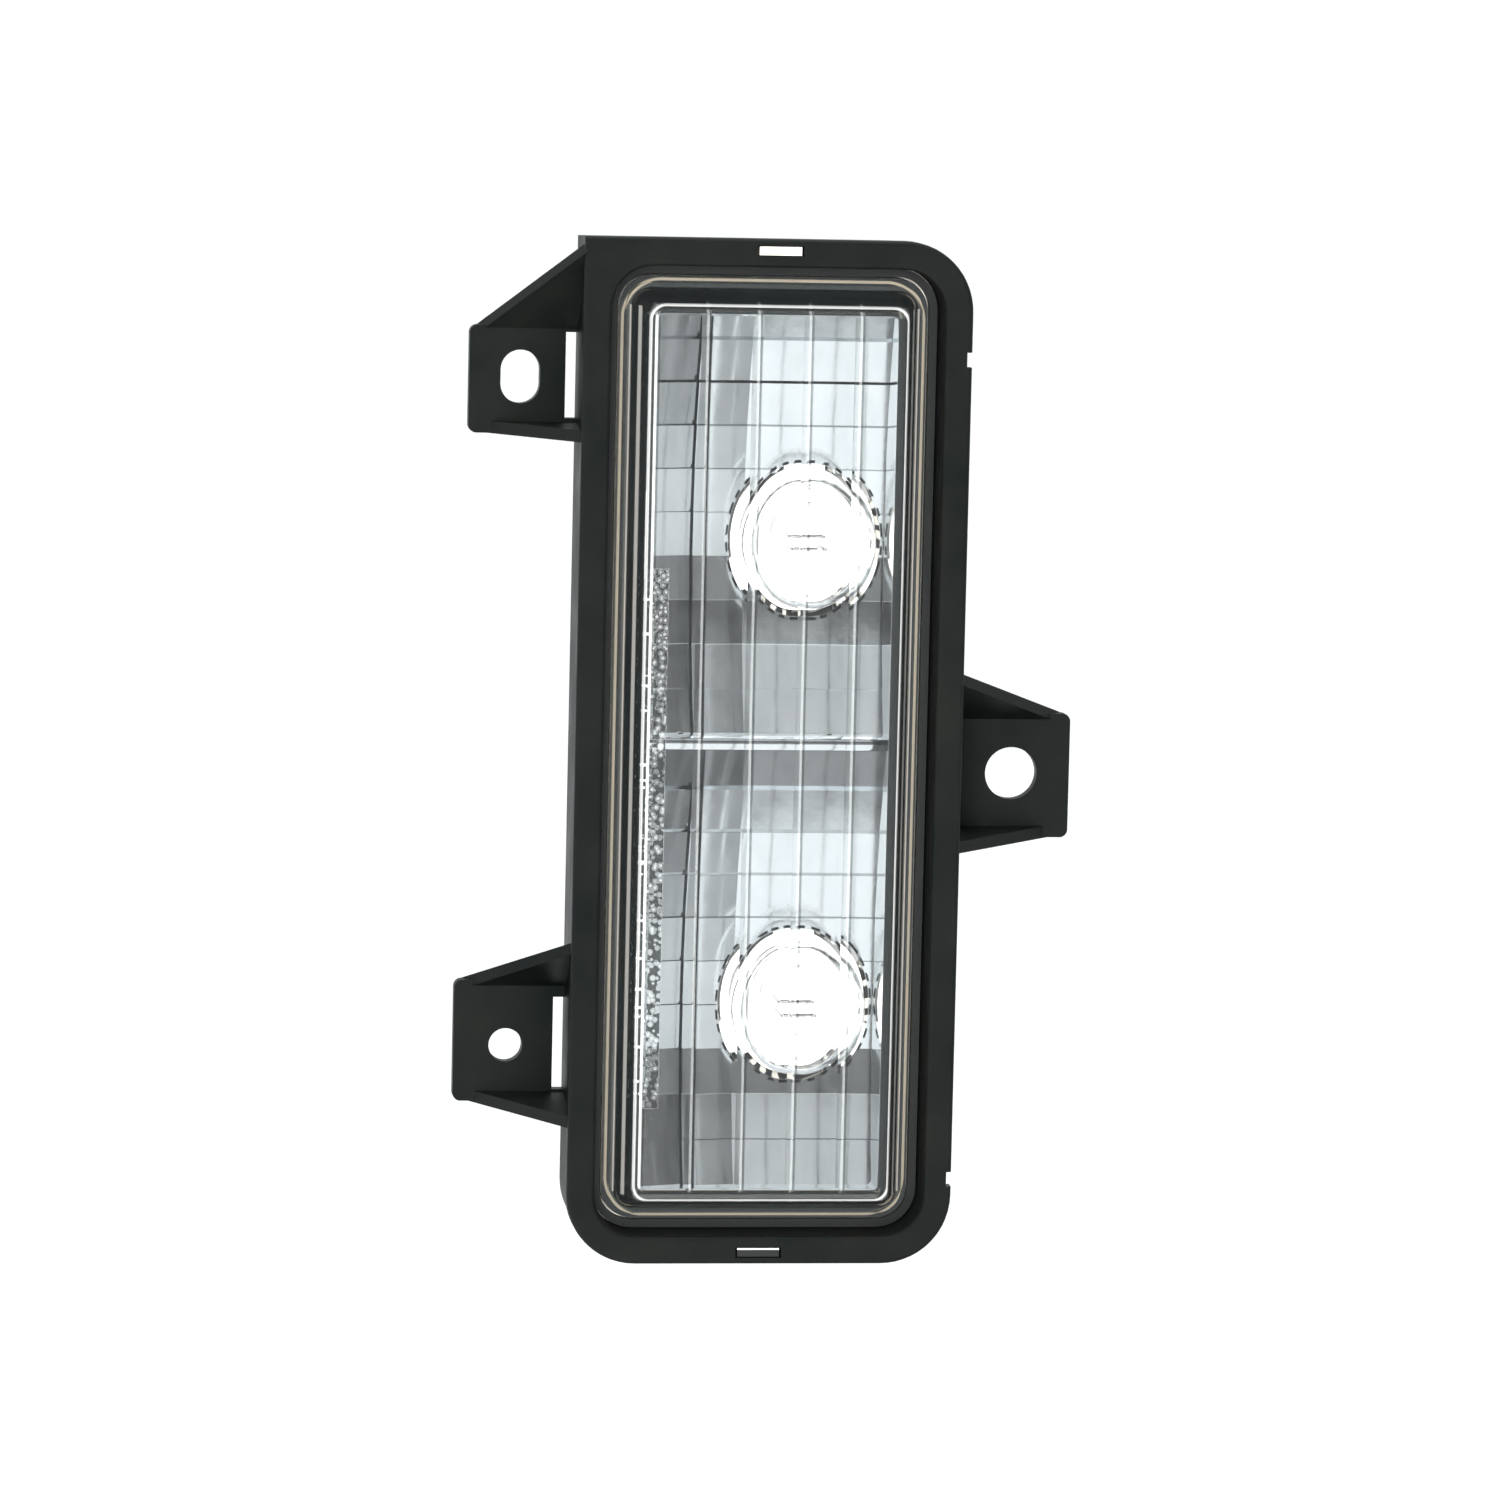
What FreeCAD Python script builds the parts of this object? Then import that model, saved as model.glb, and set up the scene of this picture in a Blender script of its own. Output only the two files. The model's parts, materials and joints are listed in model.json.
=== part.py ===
"""Front lamp with two bulbs: a clear fluted lens in a black frame that bolts on by three ears.

Row frame: +X to the lamp's right seen from the front, +Z up, the front faces -Y.
The origin is the centre of the hole in the single ear at the right, on the plane where all
three ears rest. Sizes are in millimetres. Depths are Y values, so the front of the rim is negative.
Most outlines are rounded rectangles about the lamp's own centre, all taller than they are wide by
the same amount, so one width describes each of them.
"""
import FreeCAD, Part
import math
import os

import Sketcher

# Each row: alias, value, what it is.
SIZES = [
    # where the lamp's centre and its bulbs are
    ("lamp_x", -51.7, "lamp centre from the side ear's hole"),
    ("lamp_z", 5.2, "lamp centre from the side ear's hole"),
    ("bulb_x", 10.0, "both bulbs sit to the right of the lamp's centre"),
    ("upper_bulb_z", 40.8, "upper bulb above the lamp's centre"),
    ("lower_bulb_z", -53.9, "lower bulb below the lamp's centre"),
    ("divider_z", 1.0, "divider between the two chambers"),
    ("tall_extra", 127.4, "how much taller than wide every outline is"),
    # mounting frame
    ("rim_width", 77.6, "outer width of the rim"),
    ("rim_radius", 14.0, "outer corner radius of the rim"),
    ("least_radius", 2.5, "smallest corner radius of an inner outline"),
    ("rim_front", -21.0, "front face of the rim"),
    ("lip_rear", -17.5, "rear of the rim's lip"),
    ("skirt_width", 76.2, "outer width of the skirt behind the lip"),
    ("opening_width", 66.4, "opening in the rim"),
    ("recess_width", 70.0, "recess behind the rim that takes the housing"),
    ("recess_front", -9.5, "step that the housing's flange meets"),
    ("rim_edge", 0.9, "rounding of the rim's front edges"),
    # snap windows and edge notches in the rim
    ("window_width", 9.2, "snap window and tongue channel"),
    ("window_low", 99.1, "window's inner edge from the lamp's centre"),
    ("window_high", 101.2, "window's outer edge from the lamp's centre"),
    ("channel_low", 98.7, "tongue channel's inner edge"),
    ("top_notch_z", 79.2, "edge notch above the centre"),
    ("bottom_notch_z", -85.3, "edge notch below the centre"),
    ("notch_height", 3.0, "edge notch along the rim"),
    ("notch_depth", 1.1, "edge notch into the rim"),
    # ears, measured from the lamp's centre
    ("ear_thickness", 3.0, "plate of each ear"),
    ("gusset_thickness", 2.4, "web above and below each ear"),
    ("ear_corner", 1.6, "rounding of an ear's outer corners"),
    ("slit_width", 2.3, "slit beside the skirt"),
    ("upper_reach", -59.6, "outer edge of the upper ear"),
    ("upper_top", 83.8, "top edge"),
    ("upper_bottom", 62.3, "bottom edge"),
    ("upper_rise", 18.6, "how far the top web climbs on its way to the rim"),
    ("upper_drop", 0.6, "how far the bottom web falls on its way to the rim"),
    ("upper_slit_top", 82.6, "top of the slit"),
    ("upper_slit_bottom", 65.4, "bottom of the slit"),
    ("lower_reach", -60.4, "outer edge of the lower ear"),
    ("lower_top", -47.8, "top edge"),
    ("lower_bottom", -72.4, "bottom edge"),
    ("lower_rise", 10.7, "how far the top web climbs"),
    ("lower_drop", 3.0, "how far the bottom web falls"),
    ("lower_slit_top", -51.2, "top of the slit"),
    ("lower_slit_bottom", -70.0, "bottom of the slit"),
    ("side_reach", 63.6, "outer edge of the side ear"),
    ("side_top", 7.0, "top edge"),
    ("side_bottom", -18.2, "bottom edge"),
    ("side_rise", 10.2, "how far the top web climbs"),
    ("side_drop", 1.4, "how far the bottom web falls"),
    ("side_slit_top", 2.0, "top of the slit"),
    ("side_slit_bottom", -13.4, "bottom of the slit"),
    # holes in the ears
    ("slot_x", -49.4, "slotted hole in the upper ear"),
    ("slot_z", 73.6, "slotted hole in the upper ear"),
    ("slot_radius", 3.95, "half the slot's width"),
    ("slot_length", 10.7, "slot from end to end"),
    ("lower_hole_x", -49.9, "round hole in the lower ear"),
    ("lower_hole_z", -61.0, "round hole in the lower ear"),
    ("lower_hole_radius", 3.4, "round hole in the lower ear"),
    ("side_hole_radius", 5.3, "round hole in the side ear"),
    # lamp housing
    ("flange_width", 69.4, "flange that fills the recess"),
    ("flange_front", -9.3, "front of the flange"),
    ("flange_rear", -4.0, "rear of the flange"),
    ("ring_width", 65.8, "pale ring round the lens"),
    ("ring_inner_width", 62.6, "inside of the ring"),
    ("ring_front", -12.0, "front edge of the ring"),
    ("groove_width", 62.4, "outer side of the sealing groove"),
    ("groove_inner_width", 58.8, "inner side of the sealing groove"),
    ("groove_floor", -5.5, "bottom of the sealing groove"),
    ("tub_width", 61.0, "outside of the tub"),
    ("tub_inner_width", 56.2, "inside of the tub"),
    ("tub_floor", 12.0, "inside face of the rear wall"),
    ("tub_rear", 14.5, "outside face of the rear wall"),
    ("tongue_width", 8.4, "snap tongue across"),
    ("tongue_low", 99.3, "tongue's inner face from the lamp's centre"),
    ("tongue_high", 101.0, "tongue's outer face from the lamp's centre"),
    ("tongue_root_low", 97.9, "tongue's root on the flange"),
    ("tongue_front", -20.7, "tip of the tongue"),
    ("tongue_rear", -6.3, "rear of the tongue"),
    # bayonet collars
    ("collar_radius", 19.0, "outside of the collar"),
    ("collar_bore", 14.7, "bore that the socket's barrel turns in"),
    ("collar_rear", 17.0, "rear face that the seal presses on"),
    ("notch_radius", 17.0, "reach of the three entry notches"),
    ("entry_width", 8.2, "width of an entry notch"),
    ("twist_angle", 45.0, "turn from locked to released, in degrees"),
    ("lug_count", 3, "lugs and entry notches"),
    # lens
    ("lens_flange_width", 61.8, "flange of the lens"),
    ("lens_rear", -9.6, "rear face of that flange"),
    ("lens_step_front", -14.0, "front of the step above the flange"),
    ("lens_step_width", 59.2, "step above the flange"),
    ("lens_wall_width", 57.4, "foot of the sloping wall"),
    ("lens_front", -22.5, "front face of the lens"),
    ("lens_draft", 20.0, "slope of the wall, in degrees"),
    ("lens_hollow_width", 54.8, "hollow at the rear face"),
    ("lens_inner_face", -19.3, "crests between the flutes"),
    ("lens_edge", 0.8, "rounding round the front face"),
    ("lens_tongue_width", 61.6, "outer side of the tongue in the groove"),
    ("lens_tongue_inner", 59.6, "inner side of that tongue"),
    ("lens_tongue_rear", -7.7, "rear of that tongue"),
    ("flute_pitch", 10.2, "flute to flute"),
    ("flute_radius", 28.0, "hollow radius of a flute"),
    ("flute_count", 5, "flutes across the lens"),
    ("flute_half_height", 87.2, "flutes above and below the centre"),
    # gasket
    ("gasket_width", 62.0, "outer side of the gasket"),
    ("gasket_inner_width", 59.2, "inner side of the gasket"),
    ("gasket_front", -7.5, "gasket's front face"),
    ("gasket_rear", -5.7, "gasket's rear face"),
    # reflector
    ("reflector_width", 53.0, "inside of the reflector"),
    ("reflector_wall", 1.2, "thickness of the reflector"),
    ("reflector_front", -9.3, "front edge of the reflector"),
    ("reflector_back", 7.9, "deepest line of each chamber"),
    ("reflector_focus", 45.0, "focal length of the stepped curve"),
    ("reflector_hole", 15.5, "bulb opening"),
    ("facet_count", 10, "facets in each chamber"),
    ("reflector_corner", 2.5, "outer corners of the reflector"),
    ("boss_radius", 3.8, "screw boss on the back of the divider"),
    ("boss_front", -5.0, "front end of a boss"),
    ("boss_rear", 11.8, "rear end of a boss"),
    ("boss_spacing", 30.0, "boss to boss"),
    ("pilot_radius", 1.5, "pilot hole in a boss"),
    # screws
    ("screw_radius", 1.45, "screw shank"),
    ("screw_hole", 1.9, "hole in the rear wall"),
    ("screw_tip", -1.5, "tip of a screw"),
    ("screw_head_radius", 3.2, "screw head"),
    ("screw_head_rear", 16.6, "top of a screw head"),
    ("driver_width", 0.8, "driver slot across"),
    ("driver_depth", 0.9, "driver slot's depth"),
    # breather
    ("vent_x", -19.0, "breather from the lamp's centre"),
    ("vent_z", 74.0, "breather from the lamp's centre"),
    ("spout_radius", 3.4, "spout on the rear wall"),
    ("spout_bore", 1.6, "bore of the spout"),
    ("spout_rear", 20.0, "end of the spout"),
    ("cap_radius", 5.4, "vent cap"),
    ("cap_bore", 3.5, "inside of the vent cap"),
    ("cap_front", 16.0, "front rim of the cap"),
    ("cap_floor", 22.0, "inside face of the cap's top"),
    ("cap_rear", 23.6, "top of the cap"),
    ("filter_front", 20.1, "filter disc's front face"),
    ("filter_rear", 21.9, "filter disc's rear face"),
    ("filter_radius", 3.3, "filter disc"),
    # sockets, about the bulb's axis
    ("barrel_radius", 14.4, "barrel that turns in the collar"),
    ("barrel_front", 9.5, "front rim of the barrel"),
    ("lug_radius", 16.6, "reach of a lug"),
    ("lug_width", 7.4, "width of a lug"),
    ("lug_rear", 11.7, "rear face of a lug"),
    ("grip_radius", 19.6, "flange outside the collar"),
    ("grip_front", 19.4, "front of that flange"),
    ("grip_rear", 22.0, "rear of that flange"),
    ("scallop_radius", 1.5, "finger scallops round the flange"),
    ("scallop_count", 18, "finger scallops round the flange"),
    ("stem_radius", 12.6, "body behind the flange"),
    ("stem_rear", 34.0, "rear of that body"),
    ("wing_span", 34.0, "finger wings from tip to tip"),
    ("wing_thickness", 4.0, "finger wings"),
    ("wing_rear", 31.0, "rear of the wings"),
    ("cup_radius", 12.6, "cup inside the barrel"),
    ("cup_floor", 16.0, "floor of the cup"),
    ("seat_radius", 10.8, "seat for the bulb base's collar"),
    ("seat_floor", 20.2, "floor of that seat"),
    ("well_width", 20.6, "well for the bulb's wedge"),
    ("well_height", 8.6, "well for the bulb's wedge"),
    ("well_floor", 31.4, "floor of the well"),
    ("plug_z", 6.6, "connector above the bulb's axis"),
    ("plug_width", 24.0, "connector shroud across"),
    ("plug_height", 15.4, "connector shroud up"),
    ("plug_wall", 1.6, "wall of the shroud"),
    ("plug_floor", 35.4, "floor of the shroud"),
    ("plug_rear", 46.0, "mouth of the shroud"),
    ("terminal_pitch", 5.5, "terminal to terminal"),
    ("terminal_count", 3, "terminals in a socket"),
    ("terminal_z", 5.0, "terminals above the bulb's axis"),
    ("terminal_width", 2.8, "blade across"),
    ("terminal_thickness", 0.8, "blade's thickness"),
    ("terminal_front", 20.8, "spring end of a blade"),
    ("terminal_rear", 43.6, "free end of a blade"),
    ("terminal_gap", 0.2, "room round a blade in the socket"),
    ("seal_radius", 16.9, "centre line of the socket seal"),
    ("seal_section", 1.1, "section radius of the socket seal"),
    # bulbs, about the bulb's axis
    ("glass_radius", 13.25, "envelope at its widest"),
    ("glass_centre", 0.25, "depth of the envelope's widest place"),
    ("glass_wall", 0.8, "thickness of the glass"),
    ("neck_radius", 7.5, "neck of the envelope"),
    ("neck_front", 13.5, "where the neck begins"),
    ("neck_rear", 18.6, "end of the neck"),
    ("base_radius", 10.6, "collar of the bulb base"),
    ("base_front", 14.0, "front of that collar"),
    ("base_bore", 7.7, "bore that holds the neck"),
    ("base_floor", 19.0, "floor of that bore"),
    ("base_step", 20.0, "rear of that collar"),
    ("wedge_width", 20.2, "wedge of the base"),
    ("wedge_height", 8.2, "wedge of the base"),
    ("wedge_rear", 31.0, "end of the wedge"),
    ("filament_radius", 0.45, "coil envelope"),
    ("filament_length", 5.3, "coil's length"),
    ("filament_gap", 0.05, "from coil to wire"),
    ("major_filament_y", -1.6, "bright filament"),
    ("minor_filament_y", 2.6, "dim filament"),
    ("filament_offset", 1.1, "each filament off the bulb's axis"),
    ("wire_radius", 0.3, "lead wire"),
]

SHEET = "sizes"
BULBS = ("upper", "lower")
EARS = (("upper", -1), ("lower", -1), ("side", 1))
FILAMENTS = (("major", -1), ("minor", 1))
FACING_FRONT = "XZ_Plane"
FACING_UP = "XY_Plane"
MARGIN = "1"

doc = FreeCAD.newDocument("front_lamp")
sheet = doc.addObject("Spreadsheet::Sheet", SHEET)
for row, (alias, size, meaning) in enumerate(SIZES, start=1):
    sheet.set(f"A{row}", meaning)
    sheet.set(f"B{row}", str(size))
    sheet.setAlias(f"B{row}", alias)
doc.recompute()


# ---------------------------------------------------------------- helpers

def size(alias):
    """The expression that reads one cell of the sheet."""
    return f"{SHEET}.{alias}"


def number(expression):
    """The present value of an expression, in millimetres or degrees."""
    result = sheet.evalExpression(expression)
    return float(getattr(result, "Value", result))


def nested(width_alias):
    """Width, height and corner radius of a rounded rectangle that nests in the rim."""
    width = size(width_alias)
    radius = f"max({size('rim_radius')} - ({size('rim_width')} - {width}) / 2; {size('least_radius')})"
    return width, f"{width} + {size('tall_extra')}", radius


def bulb_place(which):
    """Centre of one bulb's axis, from the lamp's centre."""
    return size("bulb_x"), size(f"{which}_bulb_z")


def place(item, centre):
    """Put an object at a place measured from the lamp's centre."""
    item.setExpression("Placement.Base.x", f"{size('lamp_x')} + {centre[0]}")
    item.setExpression("Placement.Base.z", f"{size('lamp_z')} + {centre[1]}")
    return item


def new_body(label, centre=("0", "0")):
    body = doc.addObject("PartDesign::Body", label)
    body.Label = label
    return place(body, centre)


def origin_plane(body, role):
    return next(item for item in body.Origin.OriginFeatures if item.Role == role)


def new_sketch(body, name, depth, centre=("0", "0"), turn="0"):
    """Sketch that faces the front at a given depth, with its own origin at `centre`."""
    sketch = body.newObject("Sketcher::SketchObject", name)
    sketch.AttachmentSupport = (origin_plane(body, FACING_FRONT), [""])
    sketch.MapMode = "FlatFace"
    sketch.setExpression("AttachmentOffset.Base.x", centre[0])
    sketch.setExpression("AttachmentOffset.Base.y", centre[1])
    sketch.setExpression("AttachmentOffset.Base.z", f"-({depth})")
    sketch.setExpression("AttachmentOffset.Rotation.Angle", turn)
    return sketch


def bind(sketch, kind, *arguments, expression):
    """Add a constraint whose value follows an expression; a place at zero goes on the axis."""
    axis = {"DistanceX": -2, "DistanceY": -1}
    if expression == "0":
        geometry, point = arguments[-2:]
        sketch.addConstraint(Sketcher.Constraint("PointOnObject", geometry, point, axis[kind]))
        return
    index = sketch.addConstraint(Sketcher.Constraint(kind, *arguments, number(expression)))
    sketch.setExpression(f"Constraints[{index}]", expression)


def pin_point(sketch, geometry, point, across, up):
    """Hold one point of a sketch at (across, up) from the sketch's origin."""
    bind(sketch, "DistanceX", -1, 1, geometry, point, expression=across)
    bind(sketch, "DistanceY", -1, 1, geometry, point, expression=up)


def add_circle(sketch, radius, across="0", up="0"):
    centre = FreeCAD.Vector(number(across), number(up), 0)
    circle = Part.Circle(centre, FreeCAD.Vector(0, 0, 1), number(radius))
    index = sketch.addGeometry(circle, False)
    pin_point(sketch, index, 3, across, up)
    bind(sketch, "Radius", index, expression=radius)


def add_polygon(sketch, corners):
    """Closed loop of straight lines through corners given as pairs of expressions."""
    points = [FreeCAD.Vector(number(across), number(up), 0) for across, up in corners]
    count = len(points)
    lines = [sketch.addGeometry(Part.LineSegment(points[i], points[(i + 1) % count]), False)
             for i in range(count)]
    for i, line in enumerate(lines):
        sketch.addConstraint(Sketcher.Constraint("Coincident", line, 2, lines[(i + 1) % count], 1))
    for line, (across, up) in zip(lines, corners):
        pin_point(sketch, line, 1, across, up)


def add_rectangle(sketch, left, right, low, high):
    add_polygon(sketch, [(left, low), (right, low), (right, high), (left, high)])


def add_rounded(sketch, width, height, radius):
    """Rounded rectangle about the sketch's origin: four lines joined by four tangent arcs."""
    half_x = number(width) / 2
    half_z = number(height) / 2
    bend = number(radius)
    normal = FreeCAD.Vector(0, 0, 1)
    loop = []
    for quarter in range(4):
        angle = quarter * math.pi / 2
        side = (half_x, half_z) if quarter % 2 == 0 else (half_z, half_x)
        out = FreeCAD.Vector(math.cos(angle), math.sin(angle), 0)
        along = FreeCAD.Vector(-math.sin(angle), math.cos(angle), 0)
        start = out * side[0] - along * (side[1] - bend)
        end = out * side[0] + along * (side[1] - bend)
        loop.append(sketch.addGeometry(Part.LineSegment(start, end), False))
        circle = Part.Circle(end - out * bend, normal, bend)
        arc = Part.ArcOfCircle(circle, angle, angle + math.pi / 2)
        loop.append(sketch.addGeometry(arc, False))
    for i, piece in enumerate(loop):
        following = loop[(i + 1) % len(loop)]
        sketch.addConstraint(Sketcher.Constraint("Tangent", piece, 2, following, 1))
    right, _, top, _, left, _, bottom, _ = loop
    for line, kind in ((right, "Vertical"), (left, "Vertical"), (top, "Horizontal"), (bottom, "Horizontal")):
        sketch.addConstraint(Sketcher.Constraint(kind, line))
    for arc in loop[3::2]:
        sketch.addConstraint(Sketcher.Constraint("Equal", loop[1], arc))
    bind(sketch, "Radius", loop[1], expression=radius)
    bind(sketch, "DistanceX", -1, 1, right, 1, expression=f"({width}) / 2")
    bind(sketch, "DistanceX", -1, 1, left, 1, expression=f"-({width}) / 2")
    bind(sketch, "DistanceY", -1, 1, top, 1, expression=f"({height}) / 2")
    bind(sketch, "DistanceY", -1, 1, bottom, 1, expression=f"-({height}) / 2")


def add_slot(sketch, radius, length):
    """Upright slot about the sketch's origin: two half circles joined by tangent lines."""
    bend = number(radius)
    reach = number(length) / 2 - bend
    normal = FreeCAD.Vector(0, 0, 1)
    centres = [FreeCAD.Vector(0, reach, 0), FreeCAD.Vector(0, -reach, 0)]
    starts = (0, math.pi)
    arcs = []
    for centre, start in zip(centres, starts):
        circle = Part.Circle(centre, normal, bend)
        arcs.append(sketch.addGeometry(Part.ArcOfCircle(circle, start, start + math.pi), False))
    sides = []
    for sign in (-1, 1):
        top = FreeCAD.Vector(sign * bend, -sign * -reach, 0)
        bottom = FreeCAD.Vector(sign * bend, sign * -reach, 0)
        sides.append(sketch.addGeometry(Part.LineSegment(bottom, top), False))
    return arcs, sides


def solid_between(body, sketch, name, front, rear, cut=False, taper=None):
    """Pad or pocket the sketch's loop from `front` to `rear`; the sketch lies at one of them."""
    feature = body.newObject("PartDesign::Pocket" if cut else "PartDesign::Pad", name)
    feature.Profile = sketch
    feature.setExpression("Length", f"{rear} - ({front})")
    if taper:
        feature.setExpression("TaperAngle", taper)
    sketch.Visibility = False
    return feature


def pad(body, name, front, rear, loops, centre=("0", "0"), taper=None):
    """Material from `front` to `rear`: loops is a list of (function, arguments)."""
    sketch = new_sketch(body, f"{name}_sketch", rear, centre)
    for add_loop, arguments in loops:
        add_loop(sketch, *arguments)
    return solid_between(body, sketch, name, front, rear, taper=taper)


def pocket(body, name, front, rear, loops, centre=("0", "0"), turn="0"):
    """Room from `front` to `rear`, cut backwards from a sketch at the front."""
    sketch = new_sketch(body, f"{name}_sketch", front, centre, turn)
    for add_loop, arguments in loops:
        add_loop(sketch, *arguments)
    return solid_between(body, sketch, name, front, rear, cut=True)


def polar(body, feature, name, count):
    """Repeat a feature about the axis through its sketch's origin."""
    pattern = body.newObject("PartDesign::PolarPattern", name)
    pattern.Originals = [feature]
    pattern.Axis = (feature.Profile[0], ["N_Axis"])
    pattern.Angle = 360
    pattern.setExpression("Occurrences", count)
    body.Tip = pattern
    return pattern


def round_edges(body, name, radius, wanted):
    """Fillet every edge of the body that `wanted` picks."""
    doc.recompute()
    base = body.Tip
    names = [f"Edge{i}" for i, edge in enumerate(base.Shape.Edges, start=1) if wanted(edge)]
    fillet = body.newObject("PartDesign::Fillet", name)
    fillet.Base = (base, names)
    fillet.setExpression("Radius", radius)
    return fillet


def lies_at_depth(edge, depth):
    """Whether an edge lies wholly in the plane at one depth."""
    box = edge.BoundBox
    return abs(box.YMin - depth) < 1e-4 and abs(box.YMax - depth) < 1e-4


def is_corner_line(edge, across):
    """Whether an edge runs from front to rear at one place across the lamp."""
    box = edge.BoundBox
    return box.XLength < 1e-4 and box.ZLength < 1e-4 and abs(box.XMin - across) < 1e-4


def group(label, members, centre):
    """Several separate solids in one node."""
    compound = doc.addObject("Part::Compound", label)
    compound.Label = label
    compound.Links = members
    for member in members:
        member.Visibility = False
    return place(compound, centre)


def rod(name, radius, front, rear, across="0", up="0"):
    """Round bar from `front` to `rear`."""
    item = doc.addObject("Part::Cylinder", name)
    item.Placement.Rotation = FreeCAD.Rotation(FreeCAD.Vector(1, 0, 0), 90)
    item.setExpression("Radius", radius)
    item.setExpression("Height", f"{rear} - ({front})")
    item.setExpression("Placement.Base.x", across)
    item.setExpression("Placement.Base.y", rear)
    item.setExpression("Placement.Base.z", up)
    return item


def block(name, width, height, front, rear, across="0", up="0"):
    """Rectangular bar from `front` to `rear`, centred at (across, up)."""
    item = doc.addObject("Part::Box", name)
    item.setExpression("Length", width)
    item.setExpression("Width", f"{rear} - ({front})")
    item.setExpression("Height", height)
    item.setExpression("Placement.Base.x", f"{across} - ({width}) / 2")
    item.setExpression("Placement.Base.y", front)
    item.setExpression("Placement.Base.z", f"{up} - ({height}) / 2")
    return item


def joined(kind, name, *members):
    """Boolean of Part solids: MultiFuse of all, or Cut of the first by the second."""
    item = doc.addObject(f"Part::{kind}", name)
    if kind == "Cut":
        item.Base, item.Tool = members
    else:
        item.Shapes = list(members)
    return item


# ---------------------------------------------------------------- mounting frame

def add_sharp_corner(body, name, width_alias, front, rear):
    """Square off the upper left corner, where the upper ear's web runs into the rim."""
    width, height, _ = nested(width_alias)
    bend = size("rim_radius")
    corner = (f"-({width}) / 2", f"-({width}) / 2 + {bend}", f"({height}) / 2 - {bend}", f"({height}) / 2")
    pad(body, name, front, rear, [(add_rectangle, corner)])


def add_web(body, ear, side, edge, climb, upper):
    """Slanting triangular web from an ear's edge, at its outer corner, up to the rim's front."""
    run = f"-{size('rim_front')}"
    slope = f"atan(({climb}) / ({run}))"
    name = f"{ear}_{'top' if upper else 'bottom'}_web"
    sketch = body.newObject("Sketcher::SketchObject", f"{name}_sketch")
    sketch.AttachmentSupport = (origin_plane(body, FACING_UP), [""])
    sketch.MapMode = "FlatFace"
    about_x = FreeCAD.Rotation(FreeCAD.Vector(1, 0, 0), 90)
    sketch.AttachmentOffset = FreeCAD.Placement(FreeCAD.Vector(), about_x)
    sketch.setExpression("AttachmentOffset.Base.z", edge)
    sketch.setExpression("AttachmentOffset.Rotation.Angle", f"180 deg - {slope}")
    root = f"{side} * ({size('skirt_width')} / 2 - {MARGIN})"
    outer = f"{size(ear + '_reach')} - {side} * {size('ear_corner')}"
    length = f"sqrt(({run})^2 + ({climb})^2)"
    corners = [(outer, "0"), (root, "0"), (root, length)]
    add_polygon(sketch, corners if side < 0 else corners[::-1])
    web = body.newObject("PartDesign::Pad", name)
    web.Profile = sketch
    web.Reversed = not upper
    web.setExpression("Length", size("gusset_thickness"))
    sketch.Visibility = False


def add_ear(body, ear, side):
    """Flat plate beside the skirt, with a web along its top and bottom edges and a slit."""
    plate_front = f"-{size('ear_thickness')}"
    top = size(f"{ear}_top")
    bottom = size(f"{ear}_bottom")
    reach = size(f"{ear}_reach")
    root = f"{side} * ({size('skirt_width')} / 2 - {MARGIN})"
    left, right = (reach, root) if side < 0 else (root, reach)
    pad(body, f"{ear}_plate", plate_front, "0", [(add_rectangle, (left, right, bottom, top))])
    outer_x = number(reach)
    round_edges(body, f"{ear}_corners", size("ear_corner"), lambda edge: is_corner_line(edge, outer_x))
    add_web(body, ear, side, top, size(f"{ear}_rise"), True)
    add_web(body, ear, side, bottom, f"-{size(ear + '_drop')}", False)


def cut_ear(body, ear, side):
    """Slit beside the skirt."""
    plate_front = f"-{size('ear_thickness')}"
    wall = f"{side} * {size('skirt_width')} / 2"
    far = f"{side} * ({size('skirt_width')} / 2 + {size('slit_width')})"
    left, right = (far, wall) if side < 0 else (wall, far)
    limits = (left, right, size(f"{ear}_slit_bottom"), size(f"{ear}_slit_top"))
    pocket(body, f"{ear}_slit", plate_front, "0", [(add_rectangle, limits)])


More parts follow.
